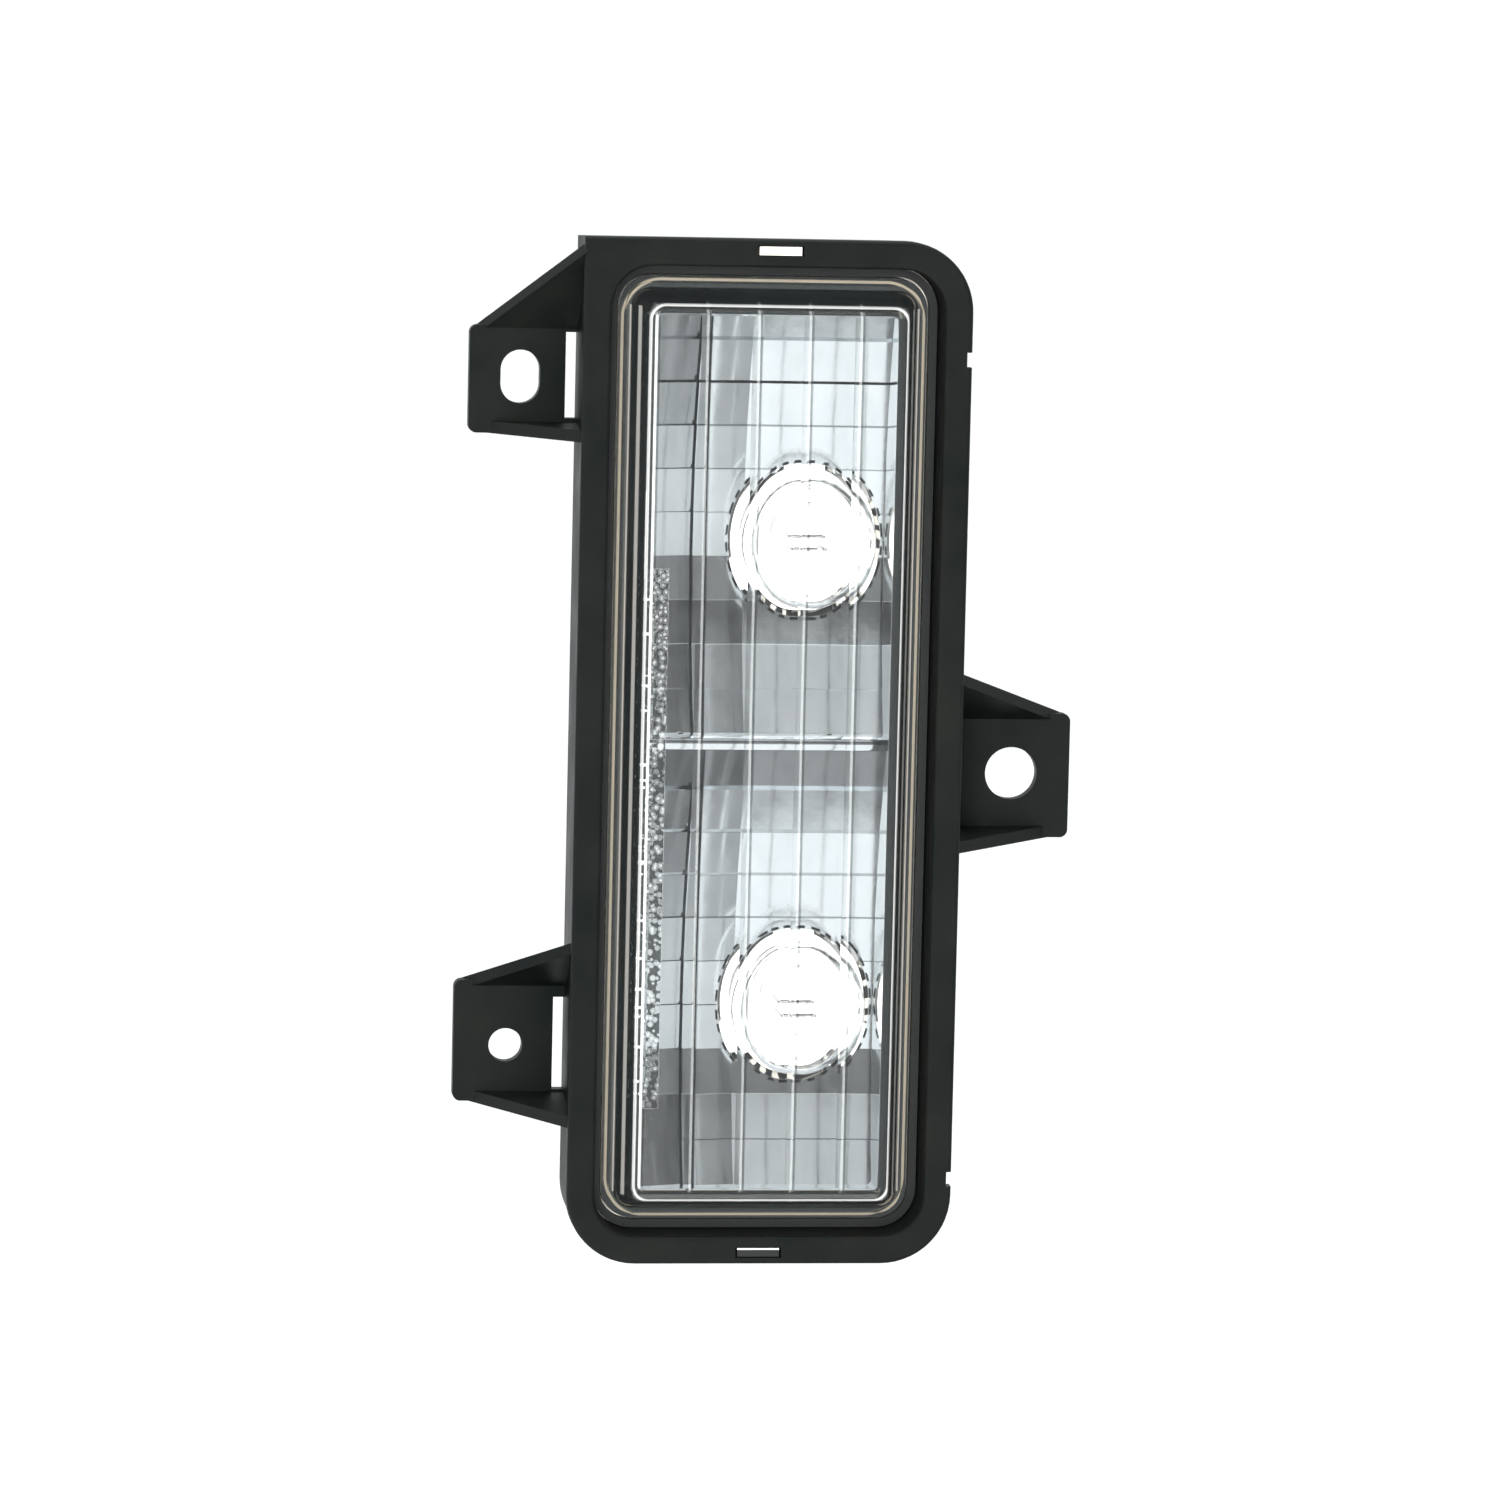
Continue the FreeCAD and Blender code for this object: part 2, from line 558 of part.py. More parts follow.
def make_mounting_frame():
    body = new_body("mounting_frame")
    front = size("rim_front")
    lip_rear = size("lip_rear")
    pad(body, "lip", front, lip_rear, [(add_rounded, nested("rim_width"))])
    add_sharp_corner(body, "lip_corner", "rim_width", front, lip_rear)
    pad(body, "skirt", lip_rear, "0", [(add_rounded, nested("skirt_width"))])
    add_sharp_corner(body, "skirt_corner", "skirt_width", lip_rear, "0")
    pocket(body, "opening", front, "0", [(add_rounded, nested("opening_width"))])
    pocket(body, "recess", size("recess_front"), "0", [(add_rounded, nested("recess_width"))])
    round_edges(body, "rim_edges", size("rim_edge"), lambda edge: lies_at_depth(edge, number(front)))
    for ear, side in EARS:
        add_ear(body, ear, side)
    proud = (size("upper_reach"), size("side_reach"), f"-{size('tall_extra')}", size("tall_extra"))
    pocket(body, "front_trim", f"{front} - {size('gusset_thickness')}", front, [(add_rectangle, proud)])
    for ear, side in EARS:
        cut_ear(body, ear, side)
    plate_front = f"-{size('ear_thickness')} - {MARGIN}"
    pocket(body, "slotted_hole", plate_front, "0", [(add_slot, (size("slot_radius"), size("slot_length")))],
           centre=(size("slot_x"), size("slot_z")))
    pocket(body, "lower_hole", plate_front, "0", [(add_circle, (size("lower_hole_radius"),))],
           centre=(size("lower_hole_x"), size("lower_hole_z")))
    pocket(body, "side_hole", plate_front, "0", [(add_circle, (size("side_hole_radius"),))],
           centre=(f"-{size('lamp_x')}", f"-{size('lamp_z')}"))
    half = f"{size('window_width')} / 2"
    for name, sign in (("top", 1), ("bottom", -1)):
        heights = {alias: f"{sign} * {size(alias)}" for alias in ("window_low", "window_high", "channel_low")}
        window = (f"-{half}", half, heights["window_low"], heights["window_high"])
        channel = (f"-{half}", half, heights["channel_low"], heights["window_high"])
        pocket(body, f"{name}_window", front, lip_rear, [(add_rectangle, window)])
        pocket(body, f"{name}_channel", lip_rear, "0", [(add_rectangle, channel)])
        edge = f"{size('rim_width')} / 2"
        middle = size(f"{name}_notch_z")
        notch = (f"{edge} - {size('notch_depth')}", f"{edge} + {MARGIN}",
                 f"{middle} - {size('notch_height')} / 2", f"{middle} + {size('notch_height')} / 2")
        pocket(body, f"{name}_edge_notch", front, lip_rear, [(add_rectangle, notch)])
    return body


# ---------------------------------------------------------------- lamp housing

def make_lamp_housing():
    body = new_body("lamp_housing")
    pad(body, "flange", size("flange_front"), size("flange_rear"), [(add_rounded, nested("flange_width"))])
    pad(body, "ring", size("ring_front"), size("flange_front"), [(add_rounded, nested("ring_width"))])
    pad(body, "tub", size("flange_rear"), size("tub_rear"), [(add_rounded, nested("tub_width"))])
    half = f"{size('tongue_width')} / 2"
    for name, sign in (("top", 1), ("bottom", -1)):
        tip = f"{sign} * {size('tongue_high')}"
        root = (f"-{half}", half, f"{sign} * {size('tongue_root_low')}", tip)
        tongue = (f"-{half}", half, f"{sign} * {size('tongue_low')}", tip)
        pad(body, f"{name}_tongue_root", size("flange_front"), size("tongue_rear"), [(add_rectangle, root)])
        pad(body, f"{name}_tongue", size("tongue_front"), size("flange_front"), [(add_rectangle, tongue)])
    for which in BULBS:
        pad(body, f"{which}_collar", size("tub_rear"), size("collar_rear"),
            [(add_circle, (size("collar_radius"),))], centre=bulb_place(which))
    vent = (size("vent_x"), size("vent_z"))
    pad(body, "spout", size("tub_rear"), size("spout_rear"),
        [(add_circle, (size("spout_radius"),))], centre=vent)
    pocket(body, "lens_seat", size("ring_front"), size("flange_front"),
           [(add_rounded, nested("ring_inner_width"))])
    pocket(body, "groove", size("flange_front"), size("groove_floor"),
           [(add_rounded, nested("groove_width")), (add_rounded, nested("groove_inner_width"))])
    pocket(body, "hollow", size("ring_front"), size("tub_floor"), [(add_rounded, nested("tub_inner_width"))])
    wall_front = f"{size('tub_floor')} - {MARGIN}"
    for which in BULBS:
        pocket(body, f"{which}_bore", wall_front, f"{size('collar_rear')} + {MARGIN}",
               [(add_circle, (size("collar_bore"),))], centre=bulb_place(which))
        entry = (f"-{size('entry_width')} / 2", f"{size('entry_width')} / 2",
                 f"{size('collar_bore')} - {MARGIN}", size("notch_radius"))
        notch = pocket(body, f"{which}_entry", wall_front, f"{size('collar_rear')} + {MARGIN}",
                       [(add_rectangle, entry)], centre=bulb_place(which), turn=f"-{size('twist_angle')}")
        polar(body, notch, f"{which}_entries", size("lug_count"))
    pocket(body, "spout_bore", wall_front, f"{size('spout_rear')} + {MARGIN}",
           [(add_circle, (size("spout_bore"),))], centre=vent)
    for name, sign in (("left", -1), ("right", 1)):
        pocket(body, f"{name}_screw_hole", wall_front, f"{size('tub_rear')} + {MARGIN}",
               [(add_circle, (size("screw_hole"),))],
               centre=(f"{sign} * {size('boss_spacing')} / 2", size("divider_z")))
    return body


# ---------------------------------------------------------------- lens and gasket

def add_flute(sketch):
    """Hollow arc between two crests, closed a little way behind them."""
    half = number(size("flute_pitch")) / 2
    radius = number(size("flute_radius"))
    back = number(MARGIN)
    rise = math.sqrt(radius ** 2 - half ** 2)
    corners = [FreeCAD.Vector(half, 0, 0), FreeCAD.Vector(half, back, 0),
               FreeCAD.Vector(-half, back, 0), FreeCAD.Vector(-half, 0, 0)]
    lines = [sketch.addGeometry(Part.LineSegment(a, b), False) for a, b in zip(corners, corners[1:])]
    circle = Part.Circle(FreeCAD.Vector(0, rise, 0), FreeCAD.Vector(0, 0, 1), radius)
    low = math.atan2(rise, half)
    arc = sketch.addGeometry(Part.ArcOfCircle(circle, math.pi + low, 2 * math.pi - low), False)
    loop = lines + [arc]
    for i, piece in enumerate(loop):
        sketch.addConstraint(Sketcher.Constraint("Coincident", piece, 2, loop[(i + 1) % len(loop)], 1))
    edge = f"{size('flute_pitch')} / 2"
    pin_point(sketch, lines[0], 1, edge, "0")
    pin_point(sketch, lines[1], 1, edge, MARGIN)
    pin_point(sketch, lines[2], 1, f"-{edge}", MARGIN)
    pin_point(sketch, arc, 1, f"-{edge}", "0")
    bind(sketch, "Radius", arc, expression=size("flute_radius"))


def cut_flutes(body):
    """Upright hollow flutes across the inside of the front face."""
    sketch = body.newObject("Sketcher::SketchObject", "flute_sketch")
    sketch.AttachmentSupport = (origin_plane(body, FACING_UP), [""])
    sketch.MapMode = "FlatFace"
    spread = f"{size('flute_pitch')} * ({size('flute_count')} - 1)"
    sketch.setExpression("AttachmentOffset.Base.x", f"-({spread}) / 2")
    sketch.setExpression("AttachmentOffset.Base.y", size("lens_inner_face"))
    sketch.setExpression("AttachmentOffset.Base.z", size("flute_half_height"))
    add_flute(sketch)
    flute = body.newObject("PartDesign::Pocket", "flute")
    flute.Profile = sketch
    flute.setExpression("Length", f"2 * {size('flute_half_height')}")
    sketch.Visibility = False
    pattern = body.newObject("PartDesign::LinearPattern", "flutes")
    pattern.Originals = [flute]
    pattern.Direction = (sketch, ["H_Axis"])
    pattern.setExpression("Length", spread)
    pattern.setExpression("Occurrences", size("flute_count"))
    body.Tip = pattern


def make_lens():
    body = new_body("lens")
    pad(body, "lens_flange", size("ring_front"), size("lens_rear"),
        [(add_rounded, nested("lens_flange_width"))])
    pad(body, "lens_step", size("lens_step_front"), size("ring_front"),
        [(add_rounded, nested("lens_step_width"))])
    pad(body, "lens_wall", size("lens_front"), size("lens_step_front"),
        [(add_rounded, nested("lens_wall_width"))], taper=f"-{size('lens_draft')}")
    front = number(size("lens_front"))
    round_edges(body, "lens_edges", size("lens_edge"), lambda edge: lies_at_depth(edge, front))
    sketch = new_sketch(body, "hollow_sketch", size("lens_rear"))
    add_rounded(sketch, *nested("lens_hollow_width"))
    hollow = solid_between(body, sketch, "hollow", size("lens_inner_face"), size("lens_rear"), cut=True,
                           taper=f"-{size('lens_draft')}")
    hollow.Reversed = True
    pad(body, "lens_tongue", size("lens_rear"), size("lens_tongue_rear"),
        [(add_rounded, nested("lens_tongue_width")), (add_rounded, nested("lens_tongue_inner"))])
    cut_flutes(body)
    return body


def make_lens_gasket():
    body = new_body("lens_gasket")
    pad(body, "bead", size("gasket_front"), size("gasket_rear"),
        [(add_rounded, nested("gasket_width")), (add_rounded, nested("gasket_inner_width"))])
    return body


# ---------------------------------------------------------------- reflector

def facet_line(low, high, bulb_z):
    """Corners of one chamber's stepped curve, from `low` to `high`, as (depth, height) pairs."""
    count = int(number(size("facet_count")))
    focus = number(size("reflector_focus"))
    back = number(size("reflector_back"))
    heights = [low + (high - low) * i / count for i in range(count + 1)]
    return [(back - (height - bulb_z) ** 2 / (4 * focus), height) for height in heights]


def extruded(points, half_width):
    """Closed (depth, height) outline made solid across the lamp."""
    corners = [FreeCAD.Vector(-half_width, depth, height) for depth, height in points]
    face = Part.Face(Part.makePolygon(corners + corners[:1]))
    return face.extrude(FreeCAD.Vector(2 * half_width, 0, 0))


def is_outer_corner(edge, across, up):
    """Whether an edge runs from front to rear at an outer corner of the reflector."""
    box = edge.BoundBox
    return (box.XLength < 1e-4 and box.ZLength < 1e-4
            and abs(abs(box.XMin) - across) < 1e-4 and abs(abs(box.ZMin) - up) < 1e-4)


def make_reflector():
    """Shell of two chambers: the stepped curve comes from a formula, so Part's functions make it."""
    wall = number(size("reflector_wall"))
    front = number(size("reflector_front"))
    half_width = number(size("reflector_width")) / 2
    half_height = half_width + number(size("tall_extra")) / 2
    divider = number(size("divider_z"))
    back = FreeCAD.Vector(0, 1, 0)
    chambers = [facet_line(-half_height, divider - wall, number(size("lower_bulb_z"))),
                facet_line(divider + wall, half_height, number(size("upper_bulb_z")))]
    rear = [(depth + wall, height) for depth, height in chambers[0] + chambers[1]]
    outline = [(front, -half_height - wall), (rear[0][0], -half_height - wall)]
    outline += rear[1:-1]
    outline += [(rear[-1][0], half_height + wall), (front, half_height + wall)]
    shell = extruded(outline, half_width + wall)
    corners = [edge for edge in shell.Edges
               if is_outer_corner(edge, half_width + wall, half_height + wall)]
    shell = shell.makeFillet(number(size("reflector_corner")), corners)
    span = number(size("boss_spacing")) / 2
    for sign in (-1, 1):
        foot = FreeCAD.Vector(sign * span, number(size("boss_front")), divider)
        length = number(size("boss_rear")) - foot.y
        shell = shell.fuse(Part.makeCylinder(number(size("boss_radius")), length, foot, back))
    proud = front - number(MARGIN)
    for which, line in zip(("lower", "upper"), chambers):
        room = extruded([(proud, line[0][1])] + line + [(proud, line[-1][1])], half_width)
        shell = shell.cut(room)
        hole = FreeCAD.Vector(number(size("bulb_x")), front, number(size(f"{which}_bulb_z")))
        deep = 4 * number(size("reflector_back"))
        shell = shell.cut(Part.makeCylinder(number(size("reflector_hole")), deep, hole, back))
    for sign in (-1, 1):
        tip = number(size("screw_tip")) - number(MARGIN)
        pilot = FreeCAD.Vector(sign * span, tip, divider)
        deep = number(size("boss_rear")) - tip
        shell = shell.cut(Part.makeCylinder(number(size("pilot_radius")), deep, pilot, back))
    item = doc.addObject("Part::Feature", "reflector")
    item.Label = "reflector"
    item.Shape = shell.removeSplitter()
    item.Placement.Base = FreeCAD.Vector(number(size("lamp_x")), 0, number(size("lamp_z")))
    return item


# ---------------------------------------------------------------- screws and breather

def make_reflector_screws():
    screws = []
    for name, sign in (("left", -1), ("right", 1)):
        across = f"{sign} * {size('boss_spacing')} / 2"
        shank = rod(f"{name}_shank", size("screw_radius"), size("screw_tip"), size("tub_rear"), across)
        top = size("screw_head_rear")
        head = rod(f"{name}_head", size("screw_head_radius"), size("tub_rear"), top, across)
        slot = block(f"{name}_driver_slot", f"3 * {size('screw_head_radius')}", size("driver_width"),
                     f"{top} - {size('driver_depth')}", f"{top} + {MARGIN}", across)
        whole = joined("MultiFuse", f"{name}_screw_blank", shank, head)
        screws.append(joined("Cut", f"{name}_screw", whole, slot))
    return group("reflector_screws", screws, ("0", size("divider_z")))


def make_vent_cap():
    body = new_body("vent_cap", (size("vent_x"), size("vent_z")))
    pad(body, "cap", size("cap_front"), size("cap_rear"), [(add_circle, (size("cap_radius"),))])
    pocket(body, "cap_hollow", size("cap_front"), size("cap_floor"), [(add_circle, (size("cap_bore"),))])
    return body


def make_vent_filter():
    body = new_body("vent_filter", (size("vent_x"), size("vent_z")))
    pad(body, "disc", size("filter_front"), size("filter_rear"), [(add_circle, (size("filter_radius"),))])
    return body


# ---------------------------------------------------------------- sockets

def terminal_places():
    """Across and up of each terminal from the bulb's axis."""
    count = int(number(size("terminal_count")))
    return [(f"({i} - ({size('terminal_count')} - 1) / 2) * {size('terminal_pitch')}", size("terminal_z"))
            for i in range(count)]


def make_socket(which):
    """Twist-lock holder: barrel with lugs, finger flange and wings, and a connector shroud."""
    body = new_body(f"{which}_socket", bulb_place(which))
    pad(body, "barrel", size("barrel_front"), size("grip_front"), [(add_circle, (size("barrel_radius"),))])
    lug = (f"-{size('lug_width')} / 2", f"{size('lug_width')} / 2", f"{size('barrel_radius')} - {MARGIN}",
           size("lug_radius"))
    polar(body, pad(body, "lug", size("barrel_front"), size("lug_rear"), [(add_rectangle, lug)]), "lugs",
          size("lug_count"))
    pad(body, "grip", size("grip_front"), size("grip_rear"), [(add_circle, (size("grip_radius"),))])
    scallop = pocket(body, "scallop", size("grip_front"), size("grip_rear"),
                     [(add_circle, (size("scallop_radius"), "0", size("grip_radius")))])
    polar(body, scallop, "scallops", size("scallop_count"))
    pad(body, "stem", size("grip_rear"), size("stem_rear"), [(add_circle, (size("stem_radius"),))])
    wing = (f"-{size('wing_span')} / 2", f"{size('wing_span')} / 2",
            f"-{size('wing_thickness')} / 2", f"{size('wing_thickness')} / 2")
    pad(body, "wings", size("grip_rear"), size("wing_rear"), [(add_rectangle, wing)])
    shroud = (size("plug_width"), size("plug_height"), f"2 * {size('plug_wall')}")
    pad(body, "shroud", size("stem_rear"), size("plug_rear"),
        [(add_rounded, shroud)], centre=("0", size("plug_z")))
    mouth = [f"{size(side)} - 2 * {size('plug_wall')}" for side in ("plug_width", "plug_height")]
    pocket(body, "plug_room", size("plug_floor"), f"{size('plug_rear')} + {MARGIN}",
           [(add_rounded, (*mouth, size("plug_wall")))], centre=("0", size("plug_z")))
    pocket(body, "cup", f"{size('barrel_front')} - {MARGIN}", size("cup_floor"),
           [(add_circle, (size("cup_radius"),))])
    pocket(body, "seat", size("cup_floor"), size("seat_floor"), [(add_circle, (size("seat_radius"),))])
    well = [f"{sign}{size(side)} / 2" for side in ("well_width", "well_height") for sign in ("-", "")]
    pocket(body, "well", size("seat_floor"), size("well_floor"), [(add_rectangle, well)])
    gap = size("terminal_gap")
    for i, (across, up) in enumerate(terminal_places()):
        half_width = f"{size('terminal_width')} / 2"
        half_height = f"{size('terminal_thickness')} / 2"
        room = (f"{across} - {half_width} - {gap}", f"{across} + {half_width} + {gap}",
                f"{up} - {half_height} - 2 * {gap}", f"{up} + {half_height} + {gap}")
        pocket(body, f"terminal_room_{i}", size("seat_floor"), f"{size('plug_floor')} + {gap}",
               [(add_rectangle, room)])
    return body


def make_socket_seal(which):
    seal = doc.addObject("Part::Torus", f"{which}_socket_seal")
    seal.Placement.Rotation = FreeCAD.Rotation(FreeCAD.Vector(1, 0, 0), 90)
    seal.setExpression("Radius1", size("seal_radius"))
    seal.setExpression("Radius2", size("seal_section"))
    seal.setExpression("Placement.Base.y", f"({size('collar_rear')} + {size('grip_front')}) / 2")
    return place(seal, bulb_place(which))


def make_contacts(which):
    blades = [block(f"{which}_terminal_{i}", size("terminal_width"), size("terminal_thickness"),
                    size("terminal_front"), size("terminal_rear"), across, up)
              for i, (across, up) in enumerate(terminal_places())]
    return group(f"{which}_contacts", blades, bulb_place(which))


# ---------------------------------------------------------------- bulbs

def tangent_point(radius, centre, neck, neck_front):
    """Where the straight shoulder that starts at the neck touches the round envelope."""
    reach = math.hypot(neck, neck_front - centre)
    angle = math.atan2(neck_front - centre, neck) - math.acos(radius / reach)
    return FreeCAD.Vector(radius * math.cos(angle), centre + radius * math.sin(angle), 0)


def add_envelope(sketch):
    """Half section of the glass: round dome, straight shoulder and neck, with an even wall."""
    centre = number(size("glass_centre"))
    neck_front = number(size("neck_front"))
    neck_rear = number(size("neck_rear"))
    tips = []
    skins = []
    for inset in (0, number(size("glass_wall"))):
        radius = number(size("glass_radius")) - inset
        neck = number(size("neck_radius")) - inset
        touch = tangent_point(radius, centre, neck, neck_front)
        start = math.atan2(touch.y - centre, touch.x)
        circle = Part.Circle(FreeCAD.Vector(0, centre, 0), FreeCAD.Vector(0, 0, 1), radius)
        dome = sketch.addGeometry(Part.ArcOfCircle(circle, -math.pi / 2, start), False)
        corner = FreeCAD.Vector(neck, neck_front, 0)
        end = FreeCAD.Vector(neck, neck_rear, 0)
        shoulder = sketch.addGeometry(Part.LineSegment(touch, corner), False)
        side = sketch.addGeometry(Part.LineSegment(corner, end), False)
        sketch.addConstraint(Sketcher.Constraint("Tangent", dome, 2, shoulder, 1))
        sketch.addConstraint(Sketcher.Constraint("Coincident", shoulder, 2, side, 1))
        sketch.addConstraint(Sketcher.Constraint("Vertical", side))
        thinner = f" - {size('glass_wall')}" if inset else ""
        pin_point(sketch, dome, 3, "0", size("glass_centre"))
        bind(sketch, "Radius", dome, expression=size("glass_radius") + thinner)
        pin_point(sketch, side, 1, size("neck_radius") + thinner, size("neck_front"))
        tips.append(FreeCAD.Vector(0, centre - radius, 0))
        skins.append((dome, side, end))
    (outer_dome, outer_side, outer_end), (inner_dome, inner_side, inner_end) = skins
    mouth = sketch.addGeometry(Part.LineSegment(outer_end, inner_end), False)
    axis = sketch.addGeometry(Part.LineSegment(tips[1], tips[0]), False)
    for one, one_end, other, other_end in ((outer_side, 2, mouth, 1), (mouth, 2, inner_side, 2),
                                           (inner_dome, 1, axis, 1), (axis, 2, outer_dome, 1)):
        sketch.addConstraint(Sketcher.Constraint("Coincident", one, one_end, other, other_end))
    sketch.addConstraint(Sketcher.Constraint("Horizontal", mouth))
    sketch.addConstraint(Sketcher.Constraint("Vertical", axis))
    sketch.addConstraint(Sketcher.Constraint("PointOnObject", axis, 1, -2))
    bind(sketch, "DistanceY", -1, 1, outer_side, 2, expression=size("neck_rear"))


def make_bulb_glass(which):
    body = new_body(f"{which}_bulb_glass", bulb_place(which))
    sketch = body.newObject("Sketcher::SketchObject", "envelope_sketch")
    sketch.AttachmentSupport = (origin_plane(body, FACING_UP), [""])
    sketch.MapMode = "FlatFace"
    add_envelope(sketch)
    envelope = body.newObject("PartDesign::Revolution", "envelope")
    envelope.Profile = sketch
    envelope.ReferenceAxis = (sketch, ["V_Axis"])
    envelope.Angle = 360
    return body


def make_bulb_base(which):
    body = new_body(f"{which}_bulb_base", bulb_place(which))
    pad(body, "base_collar", size("base_front"), size("base_step"), [(add_circle, (size("base_radius"),))])
    wedge = [f"{sign}{size(side)} / 2" for side in ("wedge_width", "wedge_height") for sign in ("-", "")]
    pad(body, "wedge", size("base_step"), size("wedge_rear"), [(add_rectangle, wedge)])
    pocket(body, "neck_bore", size("base_front"), size("base_floor"), [(add_circle, (size("base_bore"),))])
    return body


def make_filaments(which):
    """Two coil envelopes that lie across the bulb's axis, one above and one below it."""
    coils = []
    for name, sign in FILAMENTS:
        coil = doc.addObject("Part::Cylinder", f"{which}_{name}_coil")
        coil.Placement.Rotation = FreeCAD.Rotation(FreeCAD.Vector(0, 1, 0), 90)
        coil.setExpression("Radius", size("filament_radius"))
        coil.setExpression("Height", size("filament_length"))
        coil.setExpression("Placement.Base.x", f"-{size('filament_length')} / 2")
        coil.setExpression("Placement.Base.y", size(f"{name}_filament_y"))
        coil.setExpression("Placement.Base.z", f"{sign} * {size('filament_offset')}")
        coils.append(coil)
    return group(f"{which}_filaments", coils, bulb_place(which))


def make_lead_wires(which):
    """Four wires from the base to the ends of the two coils."""
    wires = []
    reach = f"({size('filament_length')} / 2 + {size('filament_gap')} + {size('wire_radius')})"
    for name, sign in FILAMENTS:
        for side, direction in (("left", -1), ("right", 1)):
            wires.append(rod(f"{which}_{name}_{side}_wire", size("wire_radius"),
                             f"{size(name + '_filament_y')} - {size('filament_radius')}", size("base_floor"),
                             f"{direction} * {reach}", f"{sign} * {size('filament_offset')}"))
    return group(f"{which}_lead_wires", wires, bulb_place(which))


# ---------------------------------------------------------------- build, check and write

def make_nodes():
    nodes = [make_mounting_frame(), make_lamp_housing(), make_lens(), make_lens_gasket(), make_reflector(),
             make_reflector_screws(), make_vent_cap(), make_vent_filter()]
    for which in BULBS:
        nodes += [make(which) for make in (make_socket, make_socket_seal, make_contacts, make_bulb_glass,
                                           make_bulb_base, make_filaments, make_lead_wires)]
    doc.recompute()
    return nodes


def check(nodes):
    for item in doc.Objects:
        bad = {"Invalid", "Error"} & set(item.State)
        if bad:
            raise RuntimeError(f"{item.Name} is {', '.join(sorted(bad))}: {item.getStatusString()}")
    for node in nodes:
        if node.Shape.isNull() or not node.Shape.isValid():
            raise RuntimeError(f"{node.Label} has no valid shape")


nodes = make_nodes()
check(nodes)
os.makedirs("parts", exist_ok=True)
for node in nodes:
    node.Shape.exportStep(f"parts/{node.Label}.step")
    box = node.Shape.BoundBox
    print(f"{node.Label:24s} solids {len(node.Shape.Solids)}  volume {node.Shape.Volume:10.1f}  "
          f"X {box.XMin:7.2f} {box.XMax:7.2f}  Y {box.YMin:7.2f} {box.YMax:7.2f}  "
          f"Z {box.ZMin:7.2f} {box.ZMax:7.2f}")
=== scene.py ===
"""Looks for the twin-bulb front lamp: its materials, optics, studio and camera, in metres."""

import json
import math

import bmesh
import bpy
from mathutils import Matrix, Vector


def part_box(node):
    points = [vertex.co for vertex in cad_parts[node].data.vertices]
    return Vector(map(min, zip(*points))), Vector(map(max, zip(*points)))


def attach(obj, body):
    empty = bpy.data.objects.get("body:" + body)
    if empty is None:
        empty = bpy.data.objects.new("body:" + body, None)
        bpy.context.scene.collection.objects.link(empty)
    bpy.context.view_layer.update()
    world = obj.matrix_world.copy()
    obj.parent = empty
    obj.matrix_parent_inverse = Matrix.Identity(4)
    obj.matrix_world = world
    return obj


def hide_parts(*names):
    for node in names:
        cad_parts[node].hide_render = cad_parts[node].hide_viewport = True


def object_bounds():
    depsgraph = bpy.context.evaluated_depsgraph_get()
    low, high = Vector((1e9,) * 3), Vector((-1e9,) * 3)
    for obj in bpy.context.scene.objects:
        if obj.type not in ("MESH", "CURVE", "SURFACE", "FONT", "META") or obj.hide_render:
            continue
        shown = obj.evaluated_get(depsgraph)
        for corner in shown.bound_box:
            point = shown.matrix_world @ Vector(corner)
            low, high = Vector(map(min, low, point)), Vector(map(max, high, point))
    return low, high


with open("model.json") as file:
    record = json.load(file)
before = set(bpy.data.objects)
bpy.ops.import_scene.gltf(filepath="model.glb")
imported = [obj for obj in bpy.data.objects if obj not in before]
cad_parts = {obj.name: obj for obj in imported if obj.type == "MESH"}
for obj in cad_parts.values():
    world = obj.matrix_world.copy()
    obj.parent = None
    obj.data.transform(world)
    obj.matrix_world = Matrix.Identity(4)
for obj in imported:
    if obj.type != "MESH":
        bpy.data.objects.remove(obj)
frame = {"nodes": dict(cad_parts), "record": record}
cad_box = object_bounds()

MM = 0.001
ROOT = "lamp"
BULBS = ("upper", "lower")

# ---------------------------------------------------------------- places read from the frame

lens_low, lens_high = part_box("lens")
reflector_low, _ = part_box("reflector")
LAMP_X = (lens_low.x + lens_high.x) / 2
LAMP_Z = (lens_low.z + lens_high.z) / 2
LENS_FRONT = lens_low.y
REFLECTOR_FRONT = reflector_low.y
HALF_TALLER = 63.7 * MM      # every outline reaches this much further up than across


def bulb_axis(which):
    low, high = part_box(f"{which}_bulb_glass")
    return (low.x + high.x) / 2, (low.z + high.z) / 2


# ---------------------------------------------------------------- camera

FRAME_WIDTH = 0.298          # width of the picture at the lamp's distance
CAMERA_DISTANCE = 1.4
CAMERA_AZIMUTH = math.radians(-7.5)
CAMERA_ELEVATION = math.radians(6.5)
CAMERA_ROLL = math.radians(1.3)
LAMP_RIGHT = 0.0039          # the lamp's centre stands this far right of the picture's centre
LAMP_DOWN = 0.0012           # and this far below it
RIM_FRONT = -0.021           # the camera's distance is measured from this depth


